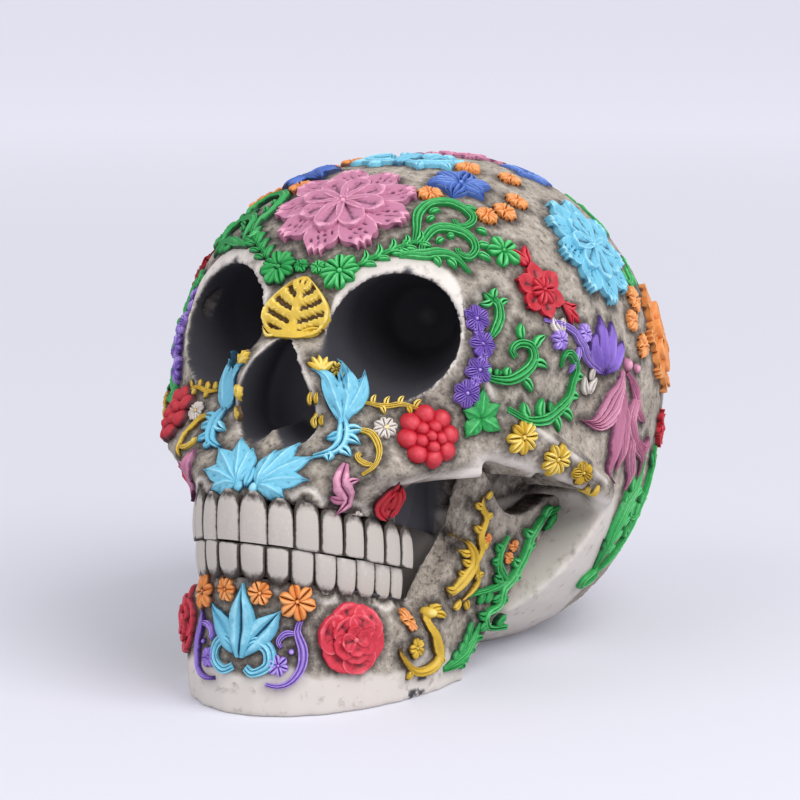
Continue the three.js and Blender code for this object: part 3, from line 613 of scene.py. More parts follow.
def closed_piece(name, flat, material):
    """A finished mesh: painted shade in its hollows and painted highlights on its swellings, and its steep
    edges stay crisp.
    """
    bmesh.ops.recalc_face_normals(flat, faces=flat.faces)
    flat.normal_update()
    crest = flat.verts.layers.float["crest"]
    for vert in flat.verts:
        ways = [edge.other_vert(vert).co - vert.co for edge in vert.link_edges]
        dip = sum(way.normalized().dot(vert.normal) for way in ways) / len(ways)
        vert[crest] = min(max(vert[crest] - DIP_SHADE_SHARE * dip, 0.0), 1.15)
    data = bpy.data.meshes.new(name)
    flat.to_mesh(data)
    flat.free()
    data.shade_smooth()
    data.set_sharp_from_angle(angle=CRISP)
    data.materials.append(material)
    piece = bpy.data.objects.new(name, data)
    bpy.context.scene.collection.objects.link(piece)
    return piece


enamel = finish_with("tooth_paint", brushed_and_shaded, 0.25, **TOOTH_PAINT)
tooth_feet = []
for row in TOOTH_ROWS:
    crowns = place(closed_piece(row + "_crowns", teeth(row), enamel), "tooth", row + "_teeth")
    tooth_feet += [vert.co.copy() for vert in crowns.data.vertices]

# Rosettes: the largest flowers, moulded with the casting in two tiers and painted satin: mauve pink on the
# forehead and at the back, light blue and orange on the sides. Outer petals are toothed and pricked, inner
# ones spoon-shaped.
ROSETTES = {
    "forehead_rosette": {"radius": 20.8, "height": 3.0, "outer": 9, "inner": 8, "turn": 0.5},
    "back_rosette": {"radius": 18.0, "height": 2.6, "outer": 9, "inner": 8, "turn": 0.5},
    "blue_rosette": {"radius": 17.8, "height": 3.0, "outer": 9, "inner": 8, "turn": 0.2},
    "orange_rosette": {"radius": 17.0, "height": 3.0, "outer": 9, "inner": 8, "turn": 0.0},
}
PINK = {"Paint": (192, 122, 152), "Shade": (104, 54, 82), "Light": (234, 168, 192)}
SKY_BLUE = {"Paint": (114, 192, 218), "Shade": (34, 84, 112), "Light": (160, 222, 240)}
ORANGE = {"Paint": (228, 144, 72), "Shade": (100, 48, 20), "Light": (240, 172, 108)}
RELIEF_REACH = 60.0
RELIEF_FLOOR = -11.0


def ends(t, soft=0.22):
    """Falls off at the root and the tip of a blade."""
    return 0.45 + 0.55 * min(1.0, t / soft, (1 - t) / soft)


def petal_width(t, broad=0.62):
    if t < broad:
        return 0.32 + 0.68 * math.sin(math.pi / 2 * t / broad)
    return math.sqrt(max(1 - 0.985 * ((t - broad) / (1 - broad)) ** 2, 0.0))


def blunt_width(t):
    if t < 0.7:
        return 0.3 + 0.7 * math.sin(math.pi / 2 * t / 0.7)
    return math.sqrt(1 - 0.72 * ((t - 0.7) / 0.3) ** 2)


def pointed_width(t):
    return math.sin(math.pi * (0.1 + 0.87 * t**0.85))


def spoon(s, t):
    """A hollow petal with a raised lip and a crease down its middle."""
    lip = max(abs(s) ** 2.4, ease(0.74, 0.93, t))
    crease = 0.14 * math.exp(-((s / 0.2) ** 2)) * (1 - lip)
    return (0.5 + 0.5 * lip - crease) * (1 - 0.25 * s**8) * (0.75 + 0.25 * ends(t))


def pricked(s, t):
    """A broad petal with a raised edge and small holes pricked among its stamens."""
    lip = max(abs(s) ** 3, ease(0.78, 0.95, t))
    hole = (round(6 * s) + 2 * round(12 * t)) % 5 == 0 and abs(s) < 0.6 and 0.3 < t < 0.76
    crease = 0.14 * math.exp(-((s / 0.1) ** 2)) * (1 - lip)
    return (0.62 + 0.34 * lip - 0.5 * hole - crease) * (1 - 0.2 * s**8)


def toothed_end(s):
    return 1 - 0.09 * abs(math.sin(1.5 * math.pi * s)) - 0.05 * s**4


def notched_end(s):
    return 1 - 0.13 * math.exp(-((s / 0.3) ** 2)) - 0.1 * s**6


def creased(s, t):
    """A small petal or leaf with a groove along its middle."""
    return (1 - 0.66 * math.exp(-((s / 0.22) ** 2))) * (1 - 0.35 * s**4) * ends(t)


def ridged(s, t):
    """A petal combed with fine ridges along its length."""
    return (0.72 + 0.28 * math.cos(4 * math.pi * s)) * (1 - 0.3 * s**6) * ends(t)


def rounded(s, t):
    return (1 - 0.62 * s * s) * ends(t, 0.12)


def petals(flat, middle, count, start, end, half, height, form, turn=0.0, base=0.0, across=8, along=6,
           reach=None, width=petal_width):
    for k in range(count):
        angle = math.tau * (k + turn) / count + math.pi / 2
        way = Vector((math.cos(angle), math.sin(angle)))
        root, tip = Vector(middle) + way * start, Vector(middle) + way * end
        size = 1 + 0.05 * math.sin(5 * k + end)
        blade(flat, [root, root.lerp(tip, size)], lambda t: half * size * width(t),
              height * (1 + 0.1 * (k % 2)), form, across, along, base, reach=reach)


def dome(flat, u, v, wide, tall, height, sides=10, base=0.0):
    """A bead or button: the upper part of a squashed ball."""
    crest = flat.verts.layers.float["crest"]
    for vert in bmesh.ops.create_uvsphere(flat, u_segments=sides, v_segments=6, radius=1.0)["verts"]:
        x, y, z = vert.co
        vert.co = (u + x * wide, v + y * tall, base + z * height if z > 0 else z * 0.9)
        # Painted shade at the foot of the bead and a painted highlight on its top.
        vert[crest] = 0.25 + 0.75 * max(z, 0.0)


def rosette(flat, radius, height, outer, inner, turn):
    petals(flat, (0, 0), outer, 0.3 * radius, radius, 0.25 * radius, 0.62 * height, pricked, turn, 0.1, 12,
           12, toothed_end, blunt_width)
    petals(flat, (0, 0), inner, 0.03 * radius, 0.63 * radius, 0.178 * radius, 0.72 * height, spoon,
           turn + 0.4, 0.28 * height, 10, 9)
    dome(flat, 0, 0, 0.06 * radius, 0.06 * radius, 0.85 * height)


def rosette_of(name):
    return lambda flat: rosette(flat, **ROSETTES[name])


dark_spots = head.data.attributes["black"].data
solid_faces = [face for face in head.data.polygons if max(dark_spots[i].value for i in face.vertices) < 0.6]
head_face_tree = BVHTree.FromPolygons([v.co for v in head.data.vertices],
                                      [list(face.vertices) for face in solid_faces])
SURFACES = {"head": head_face_tree, "jaw": jaw_tree}
relief_feet = []


def lay(flat, at, facing, on, side):
    """Lays a flat relief on the casting: every point is dropped on the surface along one direction. Where
    that misses, at the edge of an opening, it takes the depth of the nearest point that meets the surface."""
    mirror = Vector((side, 1, 1))
    at = Vector(at) * mirror
    right, up, out = axes(Vector(facing) * mirror)
    depths = {}
    for vert in flat.verts:
        key = (round(vert.co.x * side, 2), round(vert.co.y, 2))
        if key not in depths:
            start = at + right * key[0] + up * key[1] + out * RELIEF_REACH
            hit = SURFACES[on].ray_cast(start * MM, -out)[0]
            depths[key] = (hit / MM - at).dot(out) if hit else -1e3
    met = [key for key in depths if depths[key] > RELIEF_FLOOR]
    near = KDTree(len(met))
    for order, key in enumerate(met):
        near.insert((*key, 0.0), order)
    near.balance()
    for vert in flat.verts:
        u, v, h = vert.co.x * side, vert.co.y, vert.co.z
        depth = depths[round(u, 2), round(v, 2)]
        if depth <= RELIEF_FLOOR:
            depth = depths[met[near.find((u, v, 0.0))[1]]] if met else 0.0
        vert.co = (at + right * u + up * v + out * (depth + h)) * MM
        if h < 0:
            relief_feet.append(vert.co.copy())


def relief(name, slot, at, facing, draw, on="head", sides=(1, -1), stands=True, rise=1.0):
    """A relief on the middle line, or one on the left and its mirror image on the right. Its rise is 1 where
    it stands as high as it is drawn."""
    for side in sides:
        flat = flat_mesh()
        draw(flat)
        for vert in flat.verts:
            vert.co.z *= rise if vert.co.z > 0 else 1.0
        lay(flat, at, facing, on, side)
        label = name if len(sides) == 1 else name + ("_left" if side > 0 else "_right")
        piece = closed_piece(label + "_relief", flat, paints[slot])
        place(piece, slot, *([label] if stands else []))


def extra(name, slot, at, facing, draw, on="head"):
    """A pair of small reliefs that stand for no node of their own."""
    relief(name, slot, at, facing, draw, on, stands=False)


paints = {}
paints["pink"] = finish_with("mauve_pink_paint", brushed_and_shaded, 0.3, **PINK)
paints["sky_blue"] = finish_with("light_blue_paint", brushed_and_shaded, 0.3, **SKY_BLUE)
paints["orange"] = finish_with("orange_paint", brushed_and_shaded, 0.3, **ORANGE)
relief("forehead_rosette", "pink", (0, -38, 131.5), (0, -0.45, 0.89),
       rosette_of("forehead_rosette"), sides=(1,))
relief("back_rosette", "pink", (0, 98, 82), (0, 1, 0.12),
       rosette_of("back_rosette"), sides=(1,))
relief("blue_rosette", "sky_blue", (52, 12, 116.5), (0.8, 0.05, 0.6),
       rosette_of("blue_rosette"))
relief("orange_rosette", "orange", (60, 48, 87), (0.9, 0.36, 0.22),
       rosette_of("orange_rosette"))

# Single flowers: one tier of grooved petals round a button, cobalt on the crown, green on the brow and the
# temple, and the red hibiscus, which has a second small tier and two leaf sprays.
COBALT = {"Paint": (72, 108, 188), "Shade": (26, 40, 86), "Light": (122, 156, 218)}
GREEN = {"Paint": (38, 158, 76), "Shade": (10, 56, 32), "Light": (92, 204, 120)}
RED = {"Paint": (188, 26, 44), "Shade": (70, 6, 16), "Light": (212, 58, 72)}


def flower(flat, u, v, count, radius, height, form=creased, turn=0.0, fat=0.82, button=0.17,
           width=petal_width, reach=None):
    half = fat * 0.9 * radius * math.sin(math.pi / count)
    petals(flat, (u, v), count, 0.1 * radius, radius, half, height, form, turn, reach=reach, width=width)
    dome(flat, u, v, button * radius, button * radius, 0.95 * height, 8)


def bloom(*sizes, **forms):
    """A drawing of one flower, for a relief."""
    return lambda flat: flower(flat, 0, 0, *sizes, **forms)


def hibiscus(flat):
    flower(flat, 0, 0, 6, 8.6, 1.8, spoon, 0.0, 0.74, reach=notched_end)
    petals(flat, (0, 0), 6, 0.3, 4.6, 1.35, 1.5, creased, 0.5, 0.9)
    dome(flat, 0, 0, 0.7, 0.7, 2.6, 8)
    for line in ([(-1, 8), (-2.4, 11), (-6, 13.8)], [(-0.4, 8), (0.2, 11.5), (1.5, 14)],
                 [(-1, 8), (-3, 10), (-4.6, 10.6)], [(7, -4), (10, -5.5), (13.5, -5)],
                 [(7.5, -4.6), (11, -8), (13, -10)], [(7, -4), (9, -7.5), (9, -11)]):
        blade(flat, line, lambda t: 1.2 * pointed_width(t), 1.5, creased, 6, 7)


paints["cobalt"] = finish_with("cobalt_paint", brushed_and_shaded, 0.3, **COBALT)
paints["green"] = finish_with("green_paint", brushed_and_shaded, 0.3, **GREEN)
paints["red"] = finish_with("red_paint", brushed_and_shaded, 0.3, **RED)
relief("cobalt_flower", "cobalt", (24, -13.5, 135.5), (0.28, -0.17, 0.94),
       bloom(6, 9.3, 2.0, ridged, 0.25, 0.86, 0.1, pointed_width))
relief("hibiscus", "red", (53, -23, 108), (0.86, -0.27, 0.43), hibiscus)
relief("brow_flower", "green", (9.5, -57.5, 115), (0.12, -0.74, 0.66),
       bloom(8, 5.8, 1.9, creased, 0.3, 0.78))
extra("temple_flower", "green", *MOULDED["temple_flower"][:2], bloom(5, 5.4, 1.7, creased, 0.1, 0.6, 0.12))

# Small blossoms: little flowers scattered between the larger ones, each pressed into the casting and picked
# out in one colour. Some stand in short rows.
PURPLE = {"Paint": (154, 122, 212), "Shade": (72, 46, 118), "Light": (190, 164, 232)}
YELLOW = {"Paint": (218, 182, 60), "Shade": (86, 62, 24), "Light": (244, 220, 124)}


def row_of_flowers(flat, spots, count, radius, height, form=creased):
    for order, (u, v) in enumerate(spots):
        flower(flat, u, v, count, radius, height, form, 0.3 * order)


paints["purple"] = finish_with("purple_paint", brushed_and_shaded, 0.3, **PURPLE)
paints["yellow"] = finish_with("yellow_paint", brushed_and_shaded, 0.3, **YELLOW)
for name, (at, facing, radius) in MOULDED.items():
    if name.startswith("orange_blossom"):
        extra(name, "orange", at, facing,
              bloom(8, radius, 1.7, creased, radius, 0.86, 0.15, reach=notched_end))
extra("orange_blossom_b", "orange", (18.5, 2, 138.4), (0.23, -0.08, 0.97), bloom(8, 3.8, 1.6, creased, 0.2))
relief("rim_sprig", "purple", (45, -47, 95), (0.75, -0.62, 0.2),
       lambda flat: (row_of_flowers(flat, [(1.5, 8), (2, 1), (0, -6), (-4, -12)], 6, 4.0, 1.7, ridged),
                     row_of_flowers(flat, [(1.4, 4.6), (1.4, -2.6), (-1.4, -9)], 4, 1.5, 1.2)))
extra("tulip_star", "purple", *MOULDED["tulip_star"][:2], bloom(6, 3.2, 1.5, creased, 0.2, 0.72))
extra("tulip_floret", "purple", (61.4, -10.2, 95.5), (0.98, -0.15, 0.1),
      bloom(6, 2.9, 1.4, creased, 0.5, 0.8))
relief("arch_sprig", "yellow", (60.5, -29, 63), (0.9, -0.42, 0),
       lambda flat: (flower(flat, -12, 7.5, 8, 5.2, 1.8, creased, 0, 0.74),
                     flower(flat, 0, 0, 8, 4.8, 1.8, creased, 0.5, 0.74),
                     flower(flat, 10, -5, 5, 3.6, 1.5, ridged, 0.2)))
relief("chin_flower", "orange", (14.5, -91, 31), (0.5, -0.86, 0),
       bloom(6, 5.2, 1.7, creased, 0.2, 0.7, 0.12), on="jaw")
extra("chin_floret", "orange", (5.3, -94.7, 33.2), (0.17, -0.99, 0),
      bloom(6, 3.5, 1.3, creased, 0.4, 0.8), on="jaw")
extra("jaw_floret", "orange", (34.4, -62.2, 21.8), (0.95, -0.3, 0),
      bloom(6, 3.0, 1.4, creased, 0.4), on="jaw")
extra("swan_floret", "yellow", (35, -59, 14), (0.97, -0.25, 0),
      lambda flat: flower(flat, -2.5, 0.2, 5, 3.1, 1.4, creased, 0.2, 0.72), on="jaw")
extra("chin_star", "purple", (13, -92.5, 16), (0.5, -0.86, 0.1),
      lambda flat: flower(flat, -3.2, -2, 6, 3.0, 1.3, creased, 0.2, 0.74), on="jaw")
extra("ramus_floret", "orange", (42.5, -24.5, 35), (0.97, -0.2, -0.15),
      lambda flat: row_of_flowers(flat, [(-9.2, 5), (4, 0.8), (2.4, -2.6)], 5, 1.9, 1.0), on="jaw")
for name in ("side_blossom", "lower_blossom"):
    at, facing, radius = MOULDED[name]
    extra(name, "orange", at, facing, bloom(7, radius, 1.6, creased, radius, 0.86, reach=notched_end))
extra("middle_blossom", "orange", (62.2, 19.8, 95.3), (0.94, 0.11, 0.31), bloom(6, 3.4, 1.4))
extra("rear_blossom", "red", *MOULDED["rear_blossom"][:2],
      bloom(7, 5.8, 1.8, spoon, 0.0, 0.86, reach=notched_end))
extra("nose_blossom", "yellow", (14.5, -68.5, 90), (0.3, -0.88, 0.36),
      bloom(4, 2.5, 1.1, creased, 0.5, 0.7))
extra("glabella_star", "green", (2.6, -57.2, 115.6), (0.05, -0.72, 0.69),
      bloom(6, 2.3, 1.2, creased, 0.3, 0.8))

# Scrolls and vines: slim ribbed stems that curl at the end, with comma-shaped leaves along them. They are
# carved in low relief and painted green, light blue, yellow or purple.
def ribbon(s, t):
    """A stem with a rib along its middle and a groove on either side."""
    return (0.78 + 0.22 * math.cos(2 * math.pi * s)) * (1 - 0.3 * s**6) * ends(t, 0.12)


def stem(flat, line, width, height, tip=0.4, form=ribbon, along=16):
    """A stem or scroll: widest a third of the way along."""
    def half(t):
        return width / 2 * (0.55 + 0.45 * ease(0, 0.35, t)) * (1 - (1 - tip) * ease(0.35, 1, t))

    blade(flat, line, half, height, form, 8, along)


def leaflet(flat, root, tip, width, height, form=creased, bow=0.12):
    """A small leaf from a root to a pointed tip, bowed to its left."""
    root, tip = Vector(root), Vector(tip)
    way = tip - root
    middle = (root + tip) / 2 + Vector((-way.y, way.x)) * bow
    blade(flat, [root, middle, tip], lambda t: width / 2 * pointed_width(t), height, form, 6, 7)


def leaflets(flat, pairs, width, height, form=creased):
    for u, v, tip_u, tip_v in pairs:
        leaflet(flat, (u, v), (tip_u, tip_v), width, height, form)


def curl(flat, u, v, radius, height):
    dome(flat, u, v, radius, radius, height, 8)


def brow_scroll(flat):
    stem(flat, [(-10, -4.5), (-8.5, -0.5), (-6.5, 6), (-2.5, 10.5), (3, 11.5), (7, 9), (9, 4), (6, 0.5),
                (3.5, 1), (3.5, 3.5)], 2.9, 1.9, 0.55, ribbon, 34)
    stem(flat, [(-9, -8), (-7.5, -4.5), (-4, -0.5), (0, 0), (4, -1.5), (6.5, -4.5), (6.5, -8), (4, -10.5),
                (1.5, -9.5), (1.5, -7.5)], 2.9, 1.9, 0.55, ribbon, 34)
    stem(flat, [(-15, -8), (-9, -9), (-5, -9), (-0.5, -10.5), (3.5, -15)], 3.2, 1.9, 0.25)
    leaflets(flat, ((-3, 6.5, 0.5, 7.5), (-4.5, 3.4, -2, 4.2), (-4, -5, -1.5, -4.2), (-0.5, -3, 1.6, -3.4),
                    (8, 9.5, 11, 7.5), (8.8, 0, 11.5, -2), (7.5, -6, 11.5, -6.5), (6.8, -9, 10.5, -11),
                    (-6, -10, -5, -13.5), (-2.4, -11, -0.4, -14), (-12, -8, -14.5, -5.5),
                    (-11, -6, -13, -2.5)), 1.9, 1.5)


def fern(flat):
    stem(flat, [(-9, -5.5), (-3, -2), (3, 1), (9, 5)], 1.4, 1.4, 0.5)
    for k in range(5):
        t = -7 + 3.6 * k
        leaflet(flat, (t, 0.55 * t - 1), (t + 0.6, 0.55 * t + 4.2), 1.9, 1.4, bow=-0.2)
        leaflet(flat, (t + 0.8, 0.55 * t - 1.2), (t + 4.4, 0.55 * t - 1.8), 1.9, 1.4)
    leaflet(flat, (-9, -5.5), (-12.5, -5.5), 2, 1.3)


def crown_scroll(flat):
    for side in (1, -1):
        stem(flat, [(side * u, v) for u, v in ((0.5, -4), (5, -7), (11, -5), (13, 1), (8, 4), (6, 1))], 3.8,
             1.8, 0.5, ribbon, 24)
        leaflets(flat, [(side * u, v, side * tip_u, tip_v) for u, v, tip_u, tip_v in (
            (6, -7, 8, -11), (11.5, -4, 16, -6.5), (13, 1, 17, 3), (9, 4, 11, 8), (2, 4, 6, 9.5))], 3.2, 1.7)
    leaflet(flat, (0, -9), (0, 9), 5.2, 1.9, bow=0)


def spiral_vine(flat):
    stem(flat, [(-9, -2.5), (-6.5, -3.5), (-2, -4), (3.5, -2), (6.5, 1), (6, 4.5), (2, 5.5), (-0.5, 4),
                (0.5, 2)], 3.0, 2.0, 0.6, ribbon, 30)
    curl(flat, -8.8, -0.8, 1.3, 1.6)
    leaflets(flat, ((3.5, 6.5, 4.5, 11), (7, 3.5, 12, 7), (6, 0, 11.5, -2), (2, -4, 5, -8),
                    (-3, -3, -2.4, -0.4), (-6, -2.6, -5.6, -0.6)), 2.5, 1.7)


def hook_vine(flat):
    stem(flat, [(-3.4, -6.4), (-1, -4), (1, -1), (1.5, 2), (0.5, 4.6)], 2.6, 1.8, 0.8)
    leaflets(flat, ((0, 4, -4, 3.6), (0.5, 4.4, 2, 7.4), (1.5, 2.5, 5, 3.6), (0.5, 4, -2, 6.6)), 2.1, 1.6)


def lower_vine(flat):
    stem(flat, [(-11.5, 1), (-6.5, -2.5), (0, -3.5), (8.5, -2.5), (16, 0.5), (18, 5), (19, 9), (13.5, 13.5),
                (10.6, 12.4), (11.5, 10)], 3.0, 2.0, 0.55, ribbon, 34)
    leaflets(flat, ((0, -3, 0.5, 2.6), (-5, -2.4, -6.6, 2.4), (12, -2, 17, -6), (16, 1, 21, 0),
                    (18.4, 6, 22, 5.4), (8, -3, 9.6, -8), (5, -2.4, 5.6, 1.2)), 2.8, 1.7)


def chin_scroll(flat):
    stem(flat, [(3, 10), (2, 7), (3.5, 2), (3, -2.5), (0.5, -6), (-3, -7.5), (-6.5, -7)], 2.6, 1.7, 0.4)
    stem(flat, [(2, 6.4), (-1, 6.5), (-3, 4.5), (-2.3, 2.8)], 1.6, 1.5, 0.7)
    curl(flat, 0.4, 1.6, 0.8, 1.2)


def swan_scroll(flat):
    stem(flat, [(5.0, 9), (3.5, 6), (5.5, 1), (7, -4), (3, -6.5), (-3.5, -6), (-8, -1.5), (-8.5, 1)], 3.8,
         1.9, 0.35, ribbon, 26)
    dome(flat, 5.0, 8.4, 2.0, 1.7, 2.1)
    leaflets(flat, ((5.4, 8.2, 10, 6.2), (5, 9, 8.4, 9.8), (6, -4, 9.6, -6.4), (-5, -5, -6.4, -8)), 2.2, 1.5)


def cheek_scroll(flat):
    stem(flat, [(-4, 6.5), (1, 5), (3, 0), (1.5, -5), (-2, -7.5)], 1.8, 1.3, 0.4)
    stem(flat, [(1.5, -5), (-1.5, -4), (-3, -2), (-2, -0.8)], 1.5, 1.2, 0.8)
    curl(flat, 5.5, 6.5, 1.0, 0.9)


def ramus_scroll(flat):
    stem(flat, [(-8, -11), (-2.5, -7.5), (1.5, -3.5), (0, 2), (-3, 4.5)], 4.2, 1.9, 0.2, creased)
    stem(flat, [(3, 16), (2, 13), (4.5, 9.5), (3, 4.5), (4.5, 0.5), (2.5, -3.5), (4.5, -9), (-1.5, -14)],
         2.5, 1.7, 0.5, ribbon, 26)
    leaflets(flat, ((3.4, 15, 5.8, 17), (2.4, 13, 0, 14.5), (4.4, 9, 7.2, 10.4), (3.4, 6, 0.6, 8),
                    (4.4, 0, 7, 2), (3, -8, 7, -7), (-2, -13, -6, -15), (0, -13.5, 1, -17),
                    (-4.5, -9.2, -9.5, -8.4), (-1, -6, -4.4, -4.4), (0.6, -3, -3, -1.4), (0.2, 0, -3.4, 1)),
             2.2, 1.5)


def small_vine(flat):
    stem(flat, [(-8, 1), (-3, -1.5), (2, 0), (6, 3), (9, 2)], 2.2, 1.5, 0.4)
    leaflets(flat, ((-5, -0.5, -6, 3.5), (-1, -1, 0.5, 3.6), (3, 1, 3.4, -3.4), (6, 3, 8, 6),
                    (-3, -1.5, -5, -4.5)), 2.4, 1.4)


relief("crown_scroll", "sky_blue", (0, 2, 140.5), (0, -0.05, 1), crown_scroll, sides=(1,))
relief("brow_scroll", "green", (30.5, -35.5, 125.5), (0.44, -0.44, 0.78), brow_scroll)
extra("brow_fern", "green", (20, -49.6, 120.4), (0.25, -0.64, 0.73), fern)
relief("spiral_vine", "green", (53, -39, 90), (0.88, -0.44, 0.19), spiral_vine)
extra("hook_vine", "green", *MOULDED["hook_vine"][:2], hook_vine)
relief("lower_vine", "green", (57.5, -32, 77.5), (0.96, -0.25, 0.1), lower_vine)
extra("rear_vine", "green", (62.1, 29, 37.2), (0.96, 0, -0.26), small_vine)
extra("cheek_scroll", "yellow", (27, -74.5, 70), (0.44, -0.68, 0.58), cheek_scroll)
relief("chin_scroll", "purple", (13, -92.5, 16), (0.5, -0.86, 0.1), chin_scroll, on="jaw")
relief("swan_scroll", "yellow", (35, -59, 14), (0.97, -0.25, 0), swan_scroll, on="jaw")
relief("ramus_scroll", "yellow", (40, -40.2, 37), (0.97, -0.2, -0.15), ramus_scroll, on="jaw")

# Leaves: broad leaves with veins, each lobe a tongue of the casting with a raised edge. The palm on the
# nose is one fan cut with slanting slits; the long leaves at the back are combed like feathers.
def veined(s, t):
    """A leaf with a middle rib and slanting side veins."""
    rib = 0.25 * math.exp(-((s / 0.16) ** 2))
    veins = 0.26 * abs(math.sin(9 * t - 2.4 * abs(s))) * ease(0.15, 0.5, abs(s))
    return (0.86 + rib - veins) * (1 - 0.35 * s**6) * ends(t) / 1.1


def palm(s, t):
    """A fan with a raised edge, a middle rib and slanting slits between them."""
    lip = max(ease(0.78, 0.92, abs(s)), ease(0.88, 0.97, t))
    cut = ease(0.1, 0.55, math.sin(31 * t - 7 * abs(s))) * ease(0.08, 0.2, abs(s))
    cut *= (1 - lip) * ease(0.1, 0.2, t)
    return (0.82 + 0.18 * lip - 0.75 * cut) * (1 - 0.25 * s**8) * ends(t, 0.1)


def combed(s, t):
    return (0.74 + 0.26 * math.cos(5 * math.pi * s)) * (1 - 0.35 * s**4) * ends(t)


def tongue(flat, line, width, height, form, across=8, along=10, broad=0.45, base=0.0):
    """A lobe that is broadest part of the way along and ends in a point."""
    def half(t):
        return width / 2 * (petal_width(t / broad * 0.62) if t < broad else 1 - ease(broad, 1.04, t) ** 1.3)

    blade(flat, line, half, height, form, across, along, base)


def nose_palm(flat):
    blade(flat, [(0, -7.6), (0, 2), (0, 11.4)], lambda t: 10.2 * pointed_width(t), 1.9, palm, 24, 32)
    leaflets(flat, ((-3, -6.6, -9.6, -3.4), (3, -6.6, 9.6, -3.4)), 2.6, 1.5)


def nose_leaf(flat):
    tongue(flat, [(0, -6), (-2, 0), (-4.5, 5), (-8.5, 6.5)], 5.4, 1.7, veined, 10, 14)
    tongue(flat, [(0, -6), (1, 2), (0, 8), (-2, 10)], 6.4, 1.9, veined, 10, 14)
    tongue(flat, [(0, -5), (3, 1), (4.5, 6), (4.6, 9)], 5.4, 1.8, veined, 10, 14)
    stem(flat, [(-0.5, -4), (0.6, -8), (0.5, -12), (-2, -15), (-6.5, -16.5)], 3.8, 1.8, 0.35, creased)
    leaflets(flat, ((0.5, -9, 6, -8), (0.6, -10.5, 5.4, -12), (-0.5, -13.5, 3.5, -16), (-3, -15, -2, -18),
                    (0, -9, -4, -11)), 2.9, 1.7)


def lip_leaves(flat):
    for side in (1, -1):
        for order, (u, v) in enumerate(((11.0, -7.5), (16.0, -1.5), (14.8, 6.0), (9.0, 9.8), (3.6, 6.4))):
            tongue(flat, [(side * 3.0, -5.5), (side * (3.0 + u) / 2, (v - 4) / 2), (side * u, v)], 5.6,
                   1.8 + 0.1 * order, veined, 10, 12, 0.55)
    tongue(flat, [(0, -6.5), (0, -3), (0, 0.5)], 2.6, 1.6, creased)


def ivy_leaf(flat):
    for tip in ((-5, -5.4), (5.6, -4.4), (6.4, 3), (1, 7.8), (-5.4, 2)):
        tongue(flat, [(0, -0.6), (tip[0] * 0.5, tip[1] * 0.5), tip], 4.8, 1.7, veined, 10, 10, 0.4)


def acanthus(flat):
    for line, width in (([(-1.5, 14), (-1.5, 6), (-4, -2.5), (-7, -10), (-10.5, -15)], 6.8),
                        ([(1, 15), (-3, 9.5), (-7, 4), (-12, 1.5), (-17.5, 3.5)], 6.0),
                        ([(4, 14), (8.5, 7.5), (4.5, 1), (7.5, -6), (14.5, -12.5), (14.5, -18)], 5.0),
                        ([(5, 12), (8, 6), (9, 2), (14.5, -2)], 4.0),
                        ([(8, -4), (11, -8), (15, -9.5), (19, -6.5)], 3.8),
                        ([(-2, 8), (0.5, 1), (0, -7), (-3, -13)], 5.0),
                        ([(6, -3), (5, -9), (7, -15), (5.5, -20)], 4.6)):
        tongue(flat, line, width, 2.0, combed, 14, 16, 0.5)
    curl(flat, 10, 14.5, 1.5, 1.7)
    curl(flat, 4, 16.5, 2.0, 1.9)


def rear_leaf(flat):
    tongue(flat, [(-3, -13), (-3, -5), (0, 4), (6, 12), (10, 18)], 7.4, 2.0, combed, 14, 18, 0.4)
    for k in range(5):
        leaflet(flat, (-3 + 1.6 * k, -7 + 4.4 * k), (-7 + 2.2 * k, -2.5 + 4.6 * k), 2.4, 1.5)
        leaflet(flat, (-0.5 + 1.8 * k, -9 + 4.2 * k), (4 + 1.9 * k, -6.5 + 4.2 * k), 2.4, 1.5)
    stem(flat, [(-2, -13), (-7, -16), (-6, -19), (-1, -18), (0, -14)], 2.2, 1.8, 0.8)
    stem(flat, [(1, -16), (8, -10), (15, 2), (19, 12), (22, 20)], 2.4, 1.8, 0.4)
    leaflets(flat, ((8, -10, 13, -10), (11, -5, 8, -1), (14, 1, 18, -1), (16, 5, 13, 9), (18, 11, 22, 9),
                    (20, 15, 18, 19)), 3.0, 1.6)


def angle_leaf(flat):
    tongue(flat, [(-12.5, -4), (-4.5, -2.5), (2, 0), (5, 6)], 4.6, 1.8, combed, 12, 12, 0.55)
    leaflets(flat, ((-8, -3.4, -6, 0.4), (-5, -2.4, -2.6, 2.2), (-2, -1.4, -0.4, 4.4), (0.6, 0, 1.4, 7.4),
                    (-6, -4, -2, -5.6), (-3, -3.2, 1.4, -4.4), (0, -1.6, 4.6, -2.4), (2.4, 0.6, 7.4, 1.4)),
             2.3, 1.6)


def pink_leaf(flat):
    tongue(flat, [(1, 7.5), (-1, 2), (1.6, -2), (-2.5, -6)], 4.6, 1.6, creased, 8, 10, 0.4)
    leaflets(flat, ((0, 1, 4, 2.6), (0.6, -2, -4, -1)), 2.0, 1.4)


